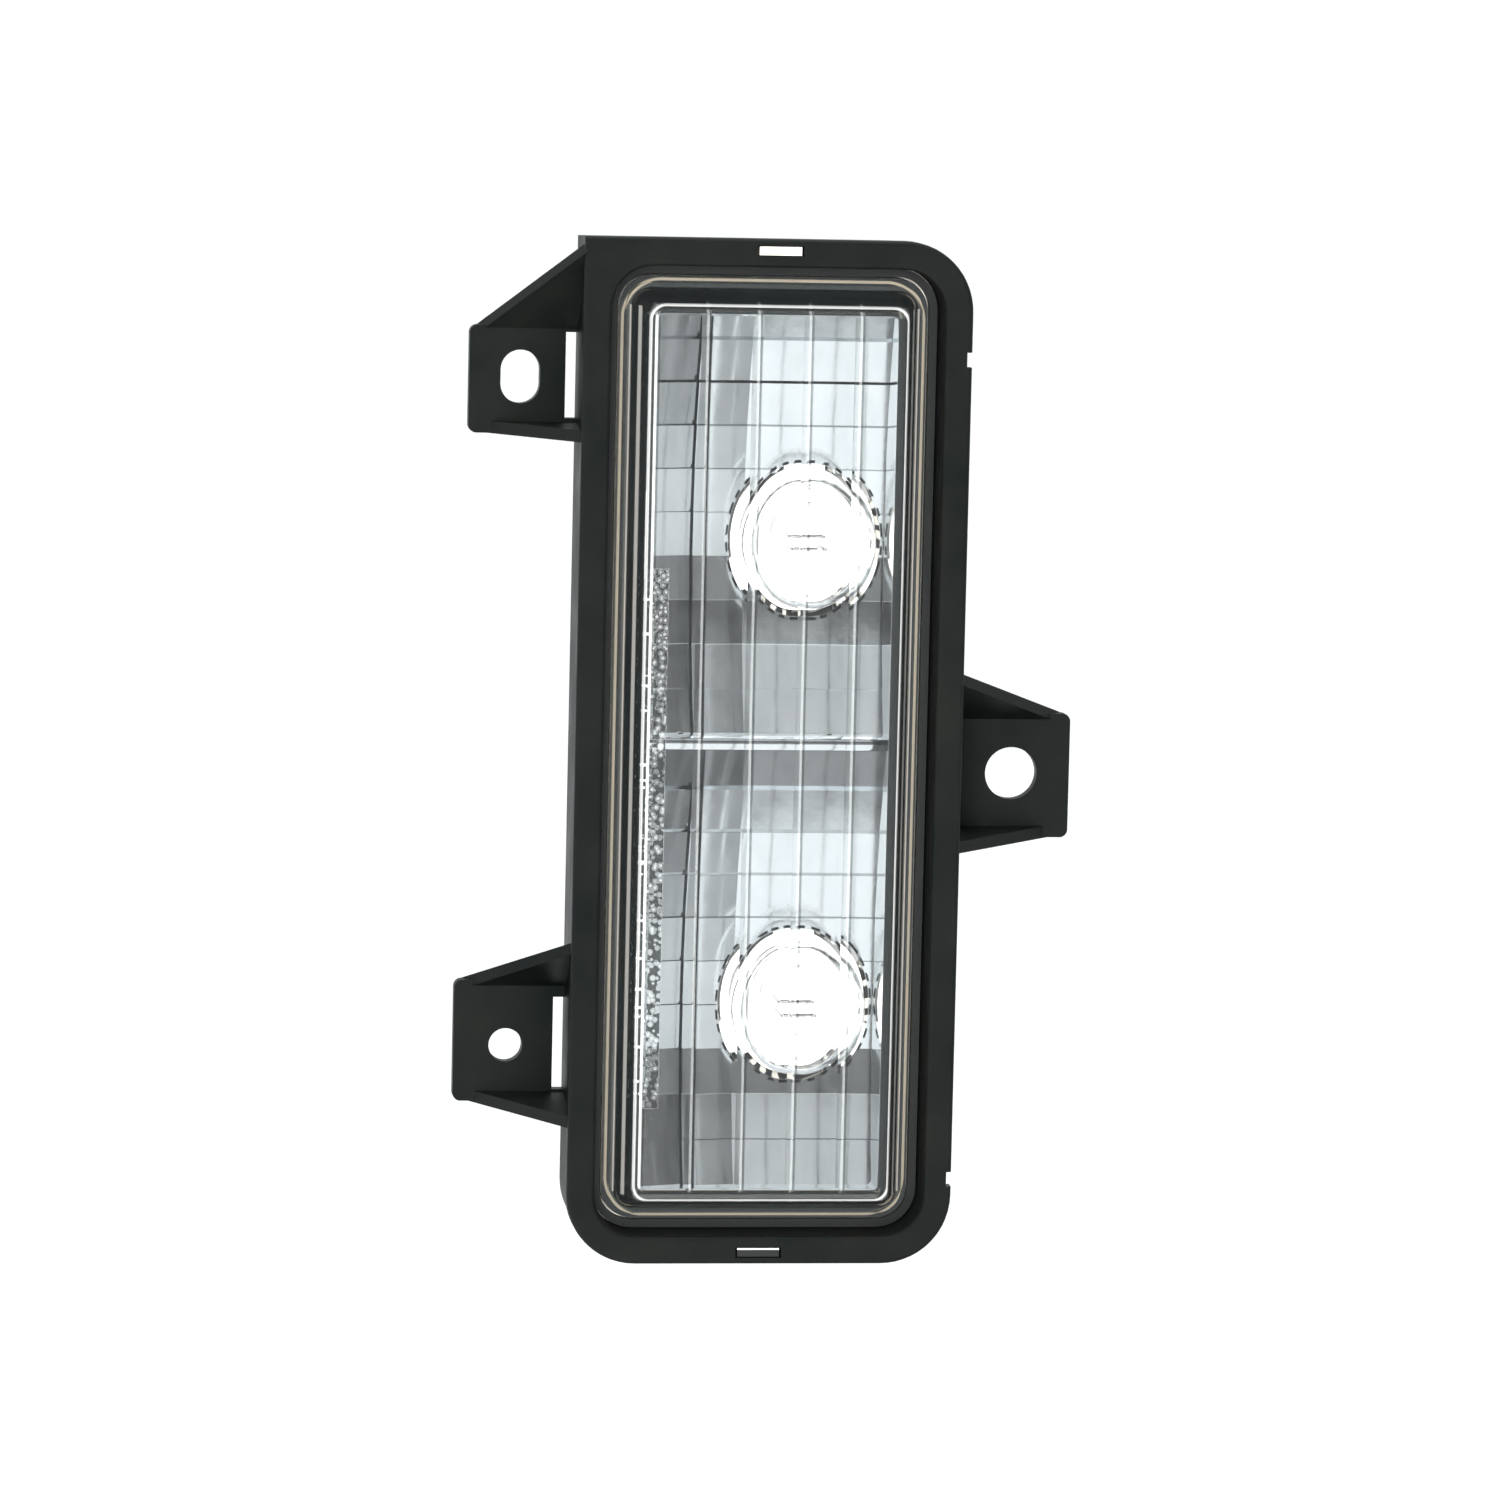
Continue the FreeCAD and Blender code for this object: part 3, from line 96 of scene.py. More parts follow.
def make_camera():
    data = bpy.data.cameras.new("camera")
    data.sensor_width = 36
    data.lens = data.sensor_width * CAMERA_DISTANCE / FRAME_WIDTH
    camera = bpy.data.objects.new("camera", data)
    bpy.context.scene.collection.objects.link(camera)
    level = math.cos(CAMERA_ELEVATION)
    outward = Vector((level * math.sin(CAMERA_AZIMUTH), -level * math.cos(CAMERA_AZIMUTH),
                      math.sin(CAMERA_ELEVATION)))
    turn = outward.to_track_quat("Z", "Y").to_matrix() @ Matrix.Rotation(CAMERA_ROLL, 3, "Z")
    right, up = turn.col[0], turn.col[1]
    centre = Vector((LAMP_X, RIM_FRONT, LAMP_Z))
    aim = centre - right * LAMP_RIGHT + up * LAMP_DOWN
    camera.matrix_world = Matrix.Translation(aim + outward * CAMERA_DISTANCE) @ turn.to_4x4()
    bpy.context.scene.camera = camera


# ---------------------------------------------------------------- material helpers

SHADE_DEPTH = -9.6 * MM    # painted shade covers what is further forward than this ...
SHADE_REACH = 97 * MM      # ... and nearer the middle than the snap tongues
LOWER_TONGUE_EDGE = -99.6 * MM   # the lower tongue is painted with shade below this, so only a thin strip of its own colour shows

OPENING = 15.5 * MM          # radius of each bulb's opening
SHADOW_DASHES = 26           # dark breaks round each bulb's opening
DASH_SHARE = 0.55            # how much of a dash and its gap is dark
DASH_DRIFT = 1.5             # how unevenly the dashes are spaced
DASH_SOFTNESS = 0.05
COLLAR_DEPTHS = (6 * MM, 14.2 * MM)      # front and rear of the painted shadow rings on the housing
COLLAR_RINGS = (14 * MM, 18 * MM)        # their radii
MIRROR_RINGS = (OPENING + 0.1 * MM, OPENING + 0.7 * MM)      # radii of the painted shadow rings on the mirrors

# Painted highlights and painted shade on the lens. Distances from the middle follow outlines nested inside
# its rim.
FACE_CORNER = 22.6 * MM      # the face's corner arcs have their centres this far out
FACE_DEPTH = 0.9 * MM        # the face's own paint goes this far back
FLUTED = 24.6 * MM           # the painted highlight and shade lines along the flutes stop here
SHADED_FROM = 26.1 * MM      # painted shade darkens the walls from here outwards ...
SHADED_BEHIND = 23.9 * MM    # ... and from here behind the face
FACE_HIGHLIGHT = (25.4 * MM, 25.85 * MM)      # painted highlight round the face's edge
FLANGE_HIGHLIGHT = (29.9 * MM, 30.5 * MM)     # painted highlight round the flange
WALL_HIGHLIGHT = (27.0 * MM, 27.6 * MM)       # painted highlights down both side walls
THIN_HIGHLIGHT = (28.6 * MM, 29.0 * MM)
WALL_LINE_END = 25.2 * MM    # the painted highlights down the walls stop short of the corners
FLUTE_PITCH = 10.2 * MM
FLUTE_SHIFT = 1.5 * MM       # the painted highlight and shade lines along the flutes stand this far to the right
FLUTE_LINE = 0.5 * MM / FLUTE_PITCH      # width of the painted highlight line and of the painted shade line, in flutes
FLUTE_SOFTNESS = 0.012
PIP_STRIP = (-25.0 * MM, -20.8 * MM)     # left and right edges of the strip of pips
PIP_ENDS = (-71 * MM, 37 * MM)           # its foot and its head
PIP_SIZE = 1.15 * MM
PIP_REACH = 0.30             # a pip's painted highlight radius, and where the painted shade between pips starts, in pip sizes
PIP_SHADE_START = 0.52
PIP_SOFTNESS = 0.05


class Paint:
    """A material under construction: its nodes, its links and its Principled shader."""

    def __init__(self, name, **sockets):
        self.material = bpy.data.materials.new(name)
        self.material.use_nodes = True
        self.tree = self.material.node_tree
        self.shader = self.tree.nodes["Principled BSDF"]
        self.coordinates = self.tree.nodes.new("ShaderNodeTexCoord").outputs["Object"]
        for socket, value in sockets.items():
            self.shader.inputs[socket.replace("_", " ")].default_value = value

    def node(self, kind, **settings):
        item = self.tree.nodes.new(f"ShaderNode{kind}")
        for key, value in settings.items():
            setattr(item, key, value)
        return item

    def link(self, source, target):
        self.tree.links.new(source, target)

    def noise(self, size, detail=3.0, stretch=(1, 1, 1)):
        """Noise whose features are about `size` metres across."""
        mapping = self.node("Mapping")
        mapping.inputs["Scale"].default_value = stretch
        self.link(self.coordinates, mapping.inputs["Vector"])
        item = self.node("TexNoise")
        item.inputs["Scale"].default_value = 1 / size
        item.inputs["Detail"].default_value = detail
        self.link(mapping.outputs["Vector"], item.inputs["Vector"])
        return item.outputs["Fac"]

    def spread(self, source, low, high, start=0.3, end=0.7):
        """Map the range start to end onto low to high, and hold what lies outside it."""
        item = self.node("MapRange")
        item.inputs["From Min"].default_value = start
        item.inputs["From Max"].default_value = end
        item.inputs["To Min"].default_value = low
        item.inputs["To Max"].default_value = high
        self.link(source, item.inputs["Value"])
        return item.outputs["Result"]

    def blend_colours(self, factor, first, second):
        item = self.node("Mix", data_type="RGBA")
        item.inputs["A"].default_value = (*first, 1)
        item.inputs["B"].default_value = (*second, 1)
        self.link(factor, item.inputs["Factor"])
        return item.outputs["Result"]

    def colour(self, factor, first, second):
        self.link(self.blend_colours(factor, first, second), self.shader.inputs["Base Color"])

    def roughness(self, factor, low, high):
        self.link(self.spread(factor, low, high), self.shader.inputs["Roughness"])

    def bump(self, height, distance, strength=1.0):
        item = self.node("Bump")
        item.inputs["Strength"].default_value = strength
        item.inputs["Distance"].default_value = distance
        self.link(height, item.inputs["Height"])
        self.link(item.outputs["Normal"], self.shader.inputs["Normal"])

    def position(self):
        """The piece's own coordinates, each measured from the lamp's centre."""
        item = self.node("SeparateXYZ")
        self.link(self.coordinates, item.inputs["Vector"])
        return (self.maths("SUBTRACT", item.outputs["X"], LAMP_X), item.outputs["Y"],
                self.maths("SUBTRACT", item.outputs["Z"], LAMP_Z))

    def maths(self, operation, *values):
        item = self.node("Math", operation=operation)
        for socket, value in zip(item.inputs, values):
            if isinstance(value, (int, float)):
                socket.default_value = value
            else:
                self.link(value, socket)
        return item.outputs["Value"]

    def above(self, value, limit, soft=0.08 * MM):
        """1 where the value is over the limit, 0 where it is under it."""
        return self.spread(value, 0, 1, limit - soft, limit + soft)

    def below(self, value, limit, soft=0.08 * MM):
        return self.maths("SUBTRACT", 1.0, self.above(value, limit, soft))

    def between(self, value, low, high, soft=0.08 * MM):
        return self.both(self.above(value, low, soft), self.below(value, high, soft))

    def both(self, first, second):
        return self.maths("MULTIPLY", first, second)

    def either(self, *masks):
        result = masks[0]
        for mask in masks[1:]:
            result = self.maths("MAXIMUM", result, mask)
        return result

    def mixed(self, factor, first, second):
        """Blend two colours, either of which may come from a node."""
        item = self.node("Mix", data_type="RGBA")
        for socket, colour in (("A", first), ("B", second)):
            if isinstance(colour, tuple):
                item.inputs[socket].default_value = (*colour, 1)
            else:
                self.link(colour, item.inputs[socket])
        self.link(factor, item.inputs["Factor"])
        return item.outputs["Result"]

    def shadow_dashes_round_bulbs(self, inner, outer):
        """Painted shadow: broken dark rings round both bulbs, between two radii."""
        across, _, height = self.position()
        (bulb_x, high_z), (_, low_z) = [bulb_axis(which) for which in BULBS]
        above_middle = self.above(height, 0.0)
        aside = self.maths("SUBTRACT", across, bulb_x - LAMP_X)
        up = self.maths("SUBTRACT", self.maths("SUBTRACT", height, low_z - LAMP_Z),
                        self.maths("MULTIPLY", above_middle, high_z - low_z))
        radius = self.maths("SQRT", self.maths("ADD", self.both(aside, aside), self.both(up, up)))
        turn = self.maths("MULTIPLY", self.maths("ARCTAN2", up, aside), SHADOW_DASHES / math.tau)
        turn = self.maths("ADD", turn, self.maths("MULTIPLY", self.noise(5 * MM), DASH_DRIFT))
        dashes = self.below(self.maths("FRACT", turn), DASH_SHARE, DASH_SOFTNESS)
        return self.both(dashes, self.between(radius, inner, outer))

    def let_lamps_through(self):
        """Let shadow and diffuse rays straight through, so that light reaches what is inside."""
        path = self.node("LightPath")
        passing = self.maths("MAXIMUM", path.outputs["Is Shadow Ray"], path.outputs["Is Diffuse Ray"])
        choose = self.node("MixShader")
        self.link(passing, choose.inputs["Fac"])
        self.link(self.shader.outputs["BSDF"], choose.inputs[1])
        self.link(self.node("BsdfTransparent").outputs["BSDF"], choose.inputs[2])
        self.link(choose.outputs["Shader"], self.tree.nodes["Material Output"].inputs["Surface"])


def black_plastic():
    """Moulded black plastic with fine grain and soft flow marks."""
    paint = Paint("black_plastic", Specular_IOR_Level=0.2)
    grain = paint.noise(0.45 * MM, detail=2)
    cloud = paint.noise(14 * MM, detail=4)
    paint.colour(paint.spread(cloud, 0, 1), (0.0022, 0.0034, 0.0032), (0.0058, 0.0064, 0.0056))
    paint.roughness(cloud, 0.42, 0.58)
    paint.bump(grain, 0.03 * MM, 0.6)
    return paint.material


def pale_plastic():
    """Natural warm-grey housing plastic, with painted shade round the lens and over the lower tongue, and
    painted shadow rings round the bulbs.
    """
    paint = Paint("pale_plastic", Specular_IOR_Level=0.4)
    cloud = paint.noise(9 * MM, detail=5)
    _, depth, height = paint.position()
    proud = paint.below(depth, SHADE_DEPTH)
    inside = paint.below(paint.maths("ABSOLUTE", height), SHADE_REACH)
    inside = paint.either(inside, paint.below(height, LOWER_TONGUE_EDGE))
    plain = paint.blend_colours(paint.spread(cloud, 0, 1), (0.46, 0.44, 0.39), (0.56, 0.54, 0.49))
    # painted shade: a near-black colour in place of the plastic's own, round the lens and on the lower
    # tongue
    shade_colour = paint.blend_colours(cloud, (0.008, 0.009, 0.009), (0.016, 0.017, 0.016))
    # painted shadow: broken dark rings round the bulbs' collars
    rings = paint.both(paint.between(depth, *COLLAR_DEPTHS), paint.shadow_dashes_round_bulbs(*COLLAR_RINGS))
    # where the painted shade and the painted shadow rings go
    dark = paint.either(paint.both(proud, inside), rings)
    paint.link(paint.mixed(dark, plain, shade_colour), paint.shader.inputs["Base Color"])
    paint.roughness(cloud, 0.42, 0.6)
    paint.bump(paint.noise(0.5 * MM, detail=2), 0.02 * MM, 0.5)
    return paint.material


def clear_lens():
    """Polished clear acrylic, with painted shade on the walls, painted highlights round the edges, painted
    highlight and shade lines along the flutes, and a strip of small pips drawn as painted highlights with
    painted shade between them.
    """
    paint = Paint("clear_lens", IOR=1.38)
    wave = paint.noise(7 * MM, detail=2)
    across, depth, height = paint.position()
    aside = paint.maths("ABSOLUTE", across)
    upright = paint.maths("SUBTRACT", paint.maths("ABSOLUTE", height), HALF_TALLER)
    past_x = paint.maths("MAXIMUM", paint.maths("SUBTRACT", aside, FACE_CORNER), 0.0)
    past_z = paint.maths("MAXIMUM", paint.maths("SUBTRACT", upright, FACE_CORNER), 0.0)
    squares = paint.maths("ADD", paint.both(past_x, past_x), paint.both(past_z, past_z))
    nest = paint.maths("ADD", paint.maths("SQRT", squares), FACE_CORNER)
    on_face = paint.below(depth, LENS_FRONT + FACE_DEPTH)
    behind_face = paint.maths("SUBTRACT", 1.0, on_face)
    in_length = paint.below(upright, WALL_LINE_END)

    # painted shade: dark, partly opaque walls
    shade = paint.either(paint.above(nest, SHADED_FROM),
                         paint.both(behind_face, paint.above(nest, SHADED_BEHIND)))
    # painted highlights: pale, partly opaque lines round the face, down the walls and round the flange
    outline = paint.both(on_face, paint.between(nest, *FACE_HIGHLIGHT))
    wall_highlight = paint.both(paint.between(aside, *WALL_HIGHLIGHT), in_length)
    thin_highlight = paint.both(paint.between(aside, *THIN_HIGHLIGHT), in_length)
    flange = paint.between(nest, *FLANGE_HIGHLIGHT)

    # painted highlight and painted shade lines along the flutes
    in_flutes = paint.both(behind_face, paint.below(nest, FLUTED))
    along_flutes = paint.maths("DIVIDE", paint.maths("SUBTRACT", across, FLUTE_SHIFT), FLUTE_PITCH)
    place = paint.maths("FRACT", paint.maths("ADD", along_flutes, 0.5))
    flute_highlight = paint.both(paint.above(place, 1 - FLUTE_LINE, FLUTE_SOFTNESS), in_flutes)
    flute_shade = paint.both(paint.below(place, FLUTE_LINE, FLUTE_SOFTNESS), in_flutes)

    # the pips are drawn only in colour: painted highlights on them and painted shade between them
    cells = paint.node("TexVoronoi")
    cells.inputs["Scale"].default_value = 1 / PIP_SIZE
    paint.link(paint.coordinates, cells.inputs["Vector"])
    strip = paint.both(paint.between(across, *PIP_STRIP), paint.between(height, *PIP_ENDS))
    strip = paint.both(strip, behind_face)
    pips = paint.both(paint.below(cells.outputs["Distance"], PIP_REACH, PIP_SOFTNESS), strip)
    shade_between_pips = paint.both(paint.above(cells.outputs["Distance"], PIP_SHADE_START, PIP_SOFTNESS), strip)

    tinted = paint.blend_colours(paint.spread(wave, 0, 1), (0.955, 0.975, 0.98), (0.975, 0.985, 0.985))
    # painted highlights and painted shade over the clear tint
    for mask, colour in ((paint.either(shade, shade_between_pips), (0.03, 0.034, 0.034)),
                         (flute_shade, (0.22, 0.235, 0.235)),
                         (flange, (0.17, 0.15, 0.115)),
                         (thin_highlight, (0.17, 0.16, 0.145)),
                         (wall_highlight, (0.30, 0.29, 0.27)),
                         (paint.either(flute_highlight, pips), (0.72, 0.74, 0.73)),
                         (outline, (0.38, 0.375, 0.365))):
        tinted = paint.mixed(mask, tinted, colour)
    paint.link(tinted, paint.shader.inputs["Base Color"])

    # How opaque each painted highlight and painted shade mark is.
    opaque_marks = ((outline, 0.7), (wall_highlight, 0.8), (flute_highlight, 0.16), (pips, 0.22), (flange, 0.8),
              (thin_highlight, 0.8), (shade, 0.35), (shade_between_pips, 0.42))
    opaque_marks = paint.either(*[paint.maths("MULTIPLY", mask, share) for mask, share in opaque_marks])
    paint.link(paint.maths("SUBTRACT", 1.0, opaque_marks), paint.shader.inputs["Transmission Weight"])
    paint.roughness(paint.noise(2 * MM, detail=4), 0.0, 0.02)
    paint.bump(wave, 0.02 * MM, 0.4)
    paint.let_lamps_through()
    return paint.material


def bright_reflector():
    """Vacuum-metallised plastic: a mirror with slight orange peel and haze, and painted shadow dashes round
    the bulbs' openings.
    """
    paint = Paint("bright_reflector", Metallic=1.0)
    haze = paint.noise(11 * MM, detail=5)
    silver = paint.blend_colours(paint.spread(haze, 0, 1), (0.80, 0.83, 0.84), (0.90, 0.92, 0.93))
    # painted shadow: broken dark rings just round each opening
    rings = paint.shadow_dashes_round_bulbs(*MIRROR_RINGS)
    paint.link(paint.mixed(rings, silver, (0.02, 0.022, 0.022)), paint.shader.inputs["Base Color"])
    paint.roughness(haze, 0.06, 0.15)
    paint.bump(paint.noise(2.2 * MM, detail=3), 0.012 * MM, 0.6)
    return paint.material


def sealing_rubber():
    paint = Paint("sealing_rubber", Specular_IOR_Level=0.3)
    bloom = paint.noise(5 * MM, detail=5)
    paint.colour(paint.spread(bloom, 0, 1), (0.012, 0.012, 0.012), (0.03, 0.03, 0.029))
    paint.roughness(bloom, 0.6, 0.85)
    paint.bump(paint.noise(0.3 * MM), 0.02 * MM, 0.5)
    return paint.material


def zinc_steel():
    paint = Paint("zinc_steel", Metallic=1.0)
    spangle = paint.noise(1.2 * MM, detail=5)
    paint.colour(paint.spread(spangle, 0, 1), (0.52, 0.52, 0.50), (0.68, 0.68, 0.66))
    paint.roughness(spangle, 0.26, 0.46)
    paint.bump(paint.noise(0.25 * MM), 0.008 * MM, 0.5)
    return paint.material


def filter_felt():
    paint = Paint("filter_felt", Sheen_Weight=0.3)
    fibre = paint.noise(0.35 * MM, detail=6)
    paint.colour(paint.spread(fibre, 0, 1), (0.55, 0.55, 0.53), (0.8, 0.8, 0.78))
    paint.roughness(fibre, 0.85, 1.0)
    paint.bump(fibre, 0.12 * MM)
    return paint.material


def socket_nylon():
    """Natural white nylon."""
    paint = Paint("socket_nylon", Specular_IOR_Level=0.4)
    cloud = paint.noise(8 * MM, detail=4)
    paint.colour(paint.spread(cloud, 0, 1), (0.87, 0.87, 0.855), (0.91, 0.91, 0.90))
    paint.roughness(cloud, 0.38, 0.55)
    paint.bump(paint.noise(0.4 * MM), 0.015 * MM, 0.5)
    return paint.material


def contact_brass():
    paint = Paint("contact_brass", Metallic=1.0)
    tarnish = paint.noise(2.5 * MM, detail=5)
    paint.colour(paint.spread(tarnish, 0, 1), (0.62, 0.47, 0.24), (0.80, 0.66, 0.38))
    paint.roughness(tarnish, 0.2, 0.42)
    paint.bump(paint.noise(0.6 * MM, stretch=(1, 0.1, 1)), 0.01 * MM, 0.5)
    return paint.material


def bulb_glass():
    """Blown clear glass."""
    paint = Paint("bulb_glass", Transmission_Weight=1.0, IOR=1.2)
    draw = paint.noise(12 * MM, detail=1)
    paint.colour(paint.spread(draw, 0, 1), (0.98, 0.985, 0.98), (0.99, 0.99, 0.99))
    paint.roughness(paint.noise(3 * MM), 0.0, 0.01)
    paint.bump(draw, 0.02 * MM, 0.3)
    paint.let_lamps_through()
    return paint.material


def bulb_base_plastic():
    paint = Paint("bulb_base_plastic", Specular_IOR_Level=0.5)
    cloud = paint.noise(5 * MM, detail=4)
    paint.colour(paint.spread(cloud, 0, 1), (0.86, 0.86, 0.85), (0.90, 0.90, 0.89))
    paint.roughness(cloud, 0.3, 0.45)
    paint.bump(paint.noise(0.5 * MM), 0.01 * MM, 0.5)
    return paint.material


def wire_metal(name, dark, light):
    paint = Paint(name, Metallic=1.0)
    drawn = paint.noise(0.6 * MM, detail=3, stretch=(1, 0.15, 1))
    paint.colour(paint.spread(drawn, 0, 1), dark, light)
    paint.roughness(drawn, 0.25, 0.45)
    paint.bump(drawn, 0.005 * MM, 0.4)
    return paint.material


MATERIALS = {
    "black_plastic": black_plastic(),
    "pale_plastic": pale_plastic(),
    "clear_lens": clear_lens(),
    "sealing_rubber": sealing_rubber(),
    "bright_reflector": bright_reflector(),
    "zinc_steel": zinc_steel(),
    "filter_felt": filter_felt(),
    "socket_nylon": socket_nylon(),
    "contact_brass": contact_brass(),
    "bulb_glass": bulb_glass(),
    "bulb_base_plastic": bulb_base_plastic(),
    "filament_wire": wire_metal("filament_wire", (0.16, 0.155, 0.15), (0.30, 0.29, 0.28)),
    "lead_wire": wire_metal("lead_wire", (0.42, 0.41, 0.39), (0.62, 0.60, 0.57)),
}


def paint_cad_nodes():
    for entry in frame["record"]["subparts"]:
        item = frame["nodes"][entry["node"]]
        item.data.materials.clear()
        item.data.materials.append(MATERIALS[entry["material_slot"]])


# ---------------------------------------------------------------- mesh helpers

def add_piece(name, mesh, slot, body=ROOT, replaced=(), smooth_angle=35):
    """Object from a mesh, painted, riding on a body and standing for CAD nodes."""
    mesh.validate()
    item = bpy.data.objects.new(name, mesh)
    bpy.context.scene.collection.objects.link(item)
    mesh.materials.append(MATERIALS[slot])
    mesh.polygons.foreach_set("use_smooth", [True] * len(mesh.polygons))
    mesh.set_sharp_from_angle(angle=math.radians(smooth_angle))
    if replaced:
        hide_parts(*replaced)
    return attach(item, body)


def mesh_from(name, points, faces):
    mesh = bpy.data.meshes.new(name)
    mesh.from_pydata([tuple(point) for point in points], [], faces)
    return mesh


# ---------------------------------------------------------------- reflector

FACETS = 10                  # facets in each chamber
TOOTH = 0.03                 # extra slope that makes a step between two facets
UPRIGHT_FOCUS = 50 * MM      # focal length that sets how the facets lean
DEPTH_FOCUS = 60 * MM        # focal length that sets how deep they lie
ACROSS_BOW = 0.533           # four focal lengths of the gentler curve across the lamp
HOLLOW = 1.4                 # curve along each facet, per metre
LEANS_ON = {"upper": 0, "lower": 12 * MM}    # facets this far below the bulb lean as above it
LEAST_RISE = 2 * MM          # those facets lean as if their middles were this far above the bulb
# Right-hand edge of each column of cells in mm, and how that column slopes across.
COLUMNS = ((-11.4, 0.235), (-1.2, 0.110), (9.0, -0.040), (19.2, -0.057), (26.5, -0.120))

HALF_ACROSS = 26.5 * MM      # from the middle to the inside of the side walls
BACK = 7.9 * MM              # how deep the mirrors lie beside their bulbs
SHEET = 0.8 * MM             # thickness of the mirrors
WALL = 1.2 * MM              # thickness of the side walls, and half the divider's
RIM_REAR = 6 * MM
RIM_EDGE = 0.35 * MM
RIM_CORNER = 2.5 * MM
RIM_LEAST_CORNER = 0.8 * MM
DIVIDER_Z = 1 * MM
DIVIDER_REAR = 0.9 * MM
DIVIDER_EDGE = 0.45 * MM
BOSS_ASIDE = 15 * MM
BOSS_RADII = (1.5 * MM, 3.8 * MM)        # inner and outer
BOSS_DEPTHS = (2.6 * MM, 11.8 * MM)      # front and rear

FACET_STEPS = 4              # steps between rows of points up a facet
HOLE_STEPS = 36              # steps up a bulb's opening
CELL_POINTS = 4              # points across each cell
ROW_MARGIN = 0.1 * MM        # rows that follow an opening keep this far inside their facet
ROW_GAP = 0.4 * MM           # a facet's own rows keep this far from those
MERGED = 0.002 * MM          # points closer than this become one
SHORTEST_EDGE = 0.001 * MM
SMALLEST_FACE = 1e-14        # faces with less area than this, in square metres, are dropped
MIRROR_SHARP = 8             # edges between faces that turn by more degrees than this stay sharp


def facet_rows(low, high, bulb_z):
    """Heights at which one facet has points: its own rows and those that follow the bulb's opening."""
    rows = [low + (high - low) * i / FACET_STEPS for i in range(FACET_STEPS + 1)]
    around = [bulb_z + OPENING * math.sin(math.pi * (i / HOLE_STEPS - 0.5)) for i in range(HOLE_STEPS + 1)]
    around = [z for z in around if low + ROW_MARGIN < z < high - ROW_MARGIN]
    rows = [z for z in rows if z in (low, high) or all(abs(z - other) > ROW_GAP for other in around)]
    return sorted(rows + around)


def chamber_rows(low, high, bulb_z):
    """Rows of points up a chamber: their height, their facet's middle, half the opening's width there."""
    rows = []
    for k in range(FACETS):
        bottom = low + (high - low) * k / FACETS
        top = low + (high - low) * (k + 1) / FACETS
        for z in facet_rows(bottom, top, bulb_z):
            half_width = math.sqrt(max(OPENING ** 2 - (z - bulb_z) ** 2, 0))
            rows.append((z, (bottom + top) / 2, half_width))
    return rows


def facet_depth(x, z, column, middle, bulb_x, bulb_z, leans_on):
    """Depth of a cell's face at a place, given its column and the height of its facet's middle."""
    rise = middle - bulb_z
    lean = max(rise, LEAST_RISE) if rise > -leans_on else rise
    slope = -lean / (2 * UPRIGHT_FOCUS) - math.copysign(TOOTH, lean)
    depth = BACK - rise ** 2 / (4 * DEPTH_FOCUS) + slope * (z - middle) - HOLLOW * (z - middle) ** 2
    left = -HALF_ACROSS if column == 0 else COLUMNS[column - 1][0] * MM
    centre = (left + COLUMNS[column][0] * MM) / 2
    return depth - (centre - bulb_x) ** 2 / ACROSS_BOW + COLUMNS[column][1] * (x - centre)


def spans_beside(left, right, start, end):
    """What an opening from start to end leaves of a cell: its left part and its right part."""
    return (left, max(left, min(right, start))), (min(right, max(left, end)), right)


def add_strip(shape, rows):
    """Faces between rows of points; a place that repeats makes no face."""
    made = [[shape.verts.new(point) for point in row] for row in rows]
    for low, high in zip(made, made[1:]):
        for i in range(len(low) - 1):
            shape.faces.new((low[i], low[i + 1], high[i + 1], high[i]))


def solid_sheet(name, shape):
    """Mesh of a surface that faces the front, cleaned and given a thickness."""
    bmesh.ops.remove_doubles(shape, verts=shape.verts, dist=MERGED)
    bmesh.ops.dissolve_degenerate(shape, edges=shape.edges, dist=SHORTEST_EDGE)
    flat = [face for face in shape.faces if face.calc_area() < SMALLEST_FACE]
    bmesh.ops.delete(shape, geom=flat, context="FACES")
    bmesh.ops.recalc_face_normals(shape, faces=shape.faces)
    facing = sum(face.normal.y * face.calc_area() for face in shape.faces)
    if facing > 0:
        bmesh.ops.reverse_faces(shape, faces=shape.faces)
    bmesh.ops.solidify(shape, geom=shape.faces, thickness=SHEET)
    mesh = bpy.data.meshes.new(name)
    shape.to_mesh(mesh)
    shape.free()
    return mesh


def chamber_sheet(name, low, high, bulb_x, bulb_z, leans_on):
    """One chamber's stepped mirror with the round opening for its bulb, as a thin solid sheet."""
    chamber = chamber_rows(low, high, bulb_z)
    shape = bmesh.new()

    def point(x, z, column, middle):
        depth = facet_depth(x, z, column, middle, bulb_x, bulb_z, leans_on)
        return LAMP_X + x, depth, LAMP_Z + z

    left = -HALF_ACROSS
    for column, (edge, _) in enumerate(COLUMNS):
        right = edge * MM
        for side in (0, 1):
            rows = []
            for z, middle, half_width in chamber:
                first, last = spans_beside(left, right, bulb_x - half_width, bulb_x + half_width)[side]
                steps = [first + (last - first) * i / (CELL_POINTS - 1) for i in range(CELL_POINTS)]
                rows.append([point(x, z, column, middle) for x in steps])
            add_strip(shape, rows)
        left = right

    # Risers between neighbouring columns, broken by the opening.
    for column, (edge, _) in enumerate(COLUMNS[:-1]):
        x = edge * MM
        risers = []
        for z, middle, half_width in chamber:
            if abs(x - bulb_x) < half_width:
                add_strip(shape, risers)
                risers = []
            else:
                risers.append([point(x, z, column, middle), point(x, z, column + 1, middle)])
        add_strip(shape, risers)
    return solid_sheet(name, shape)


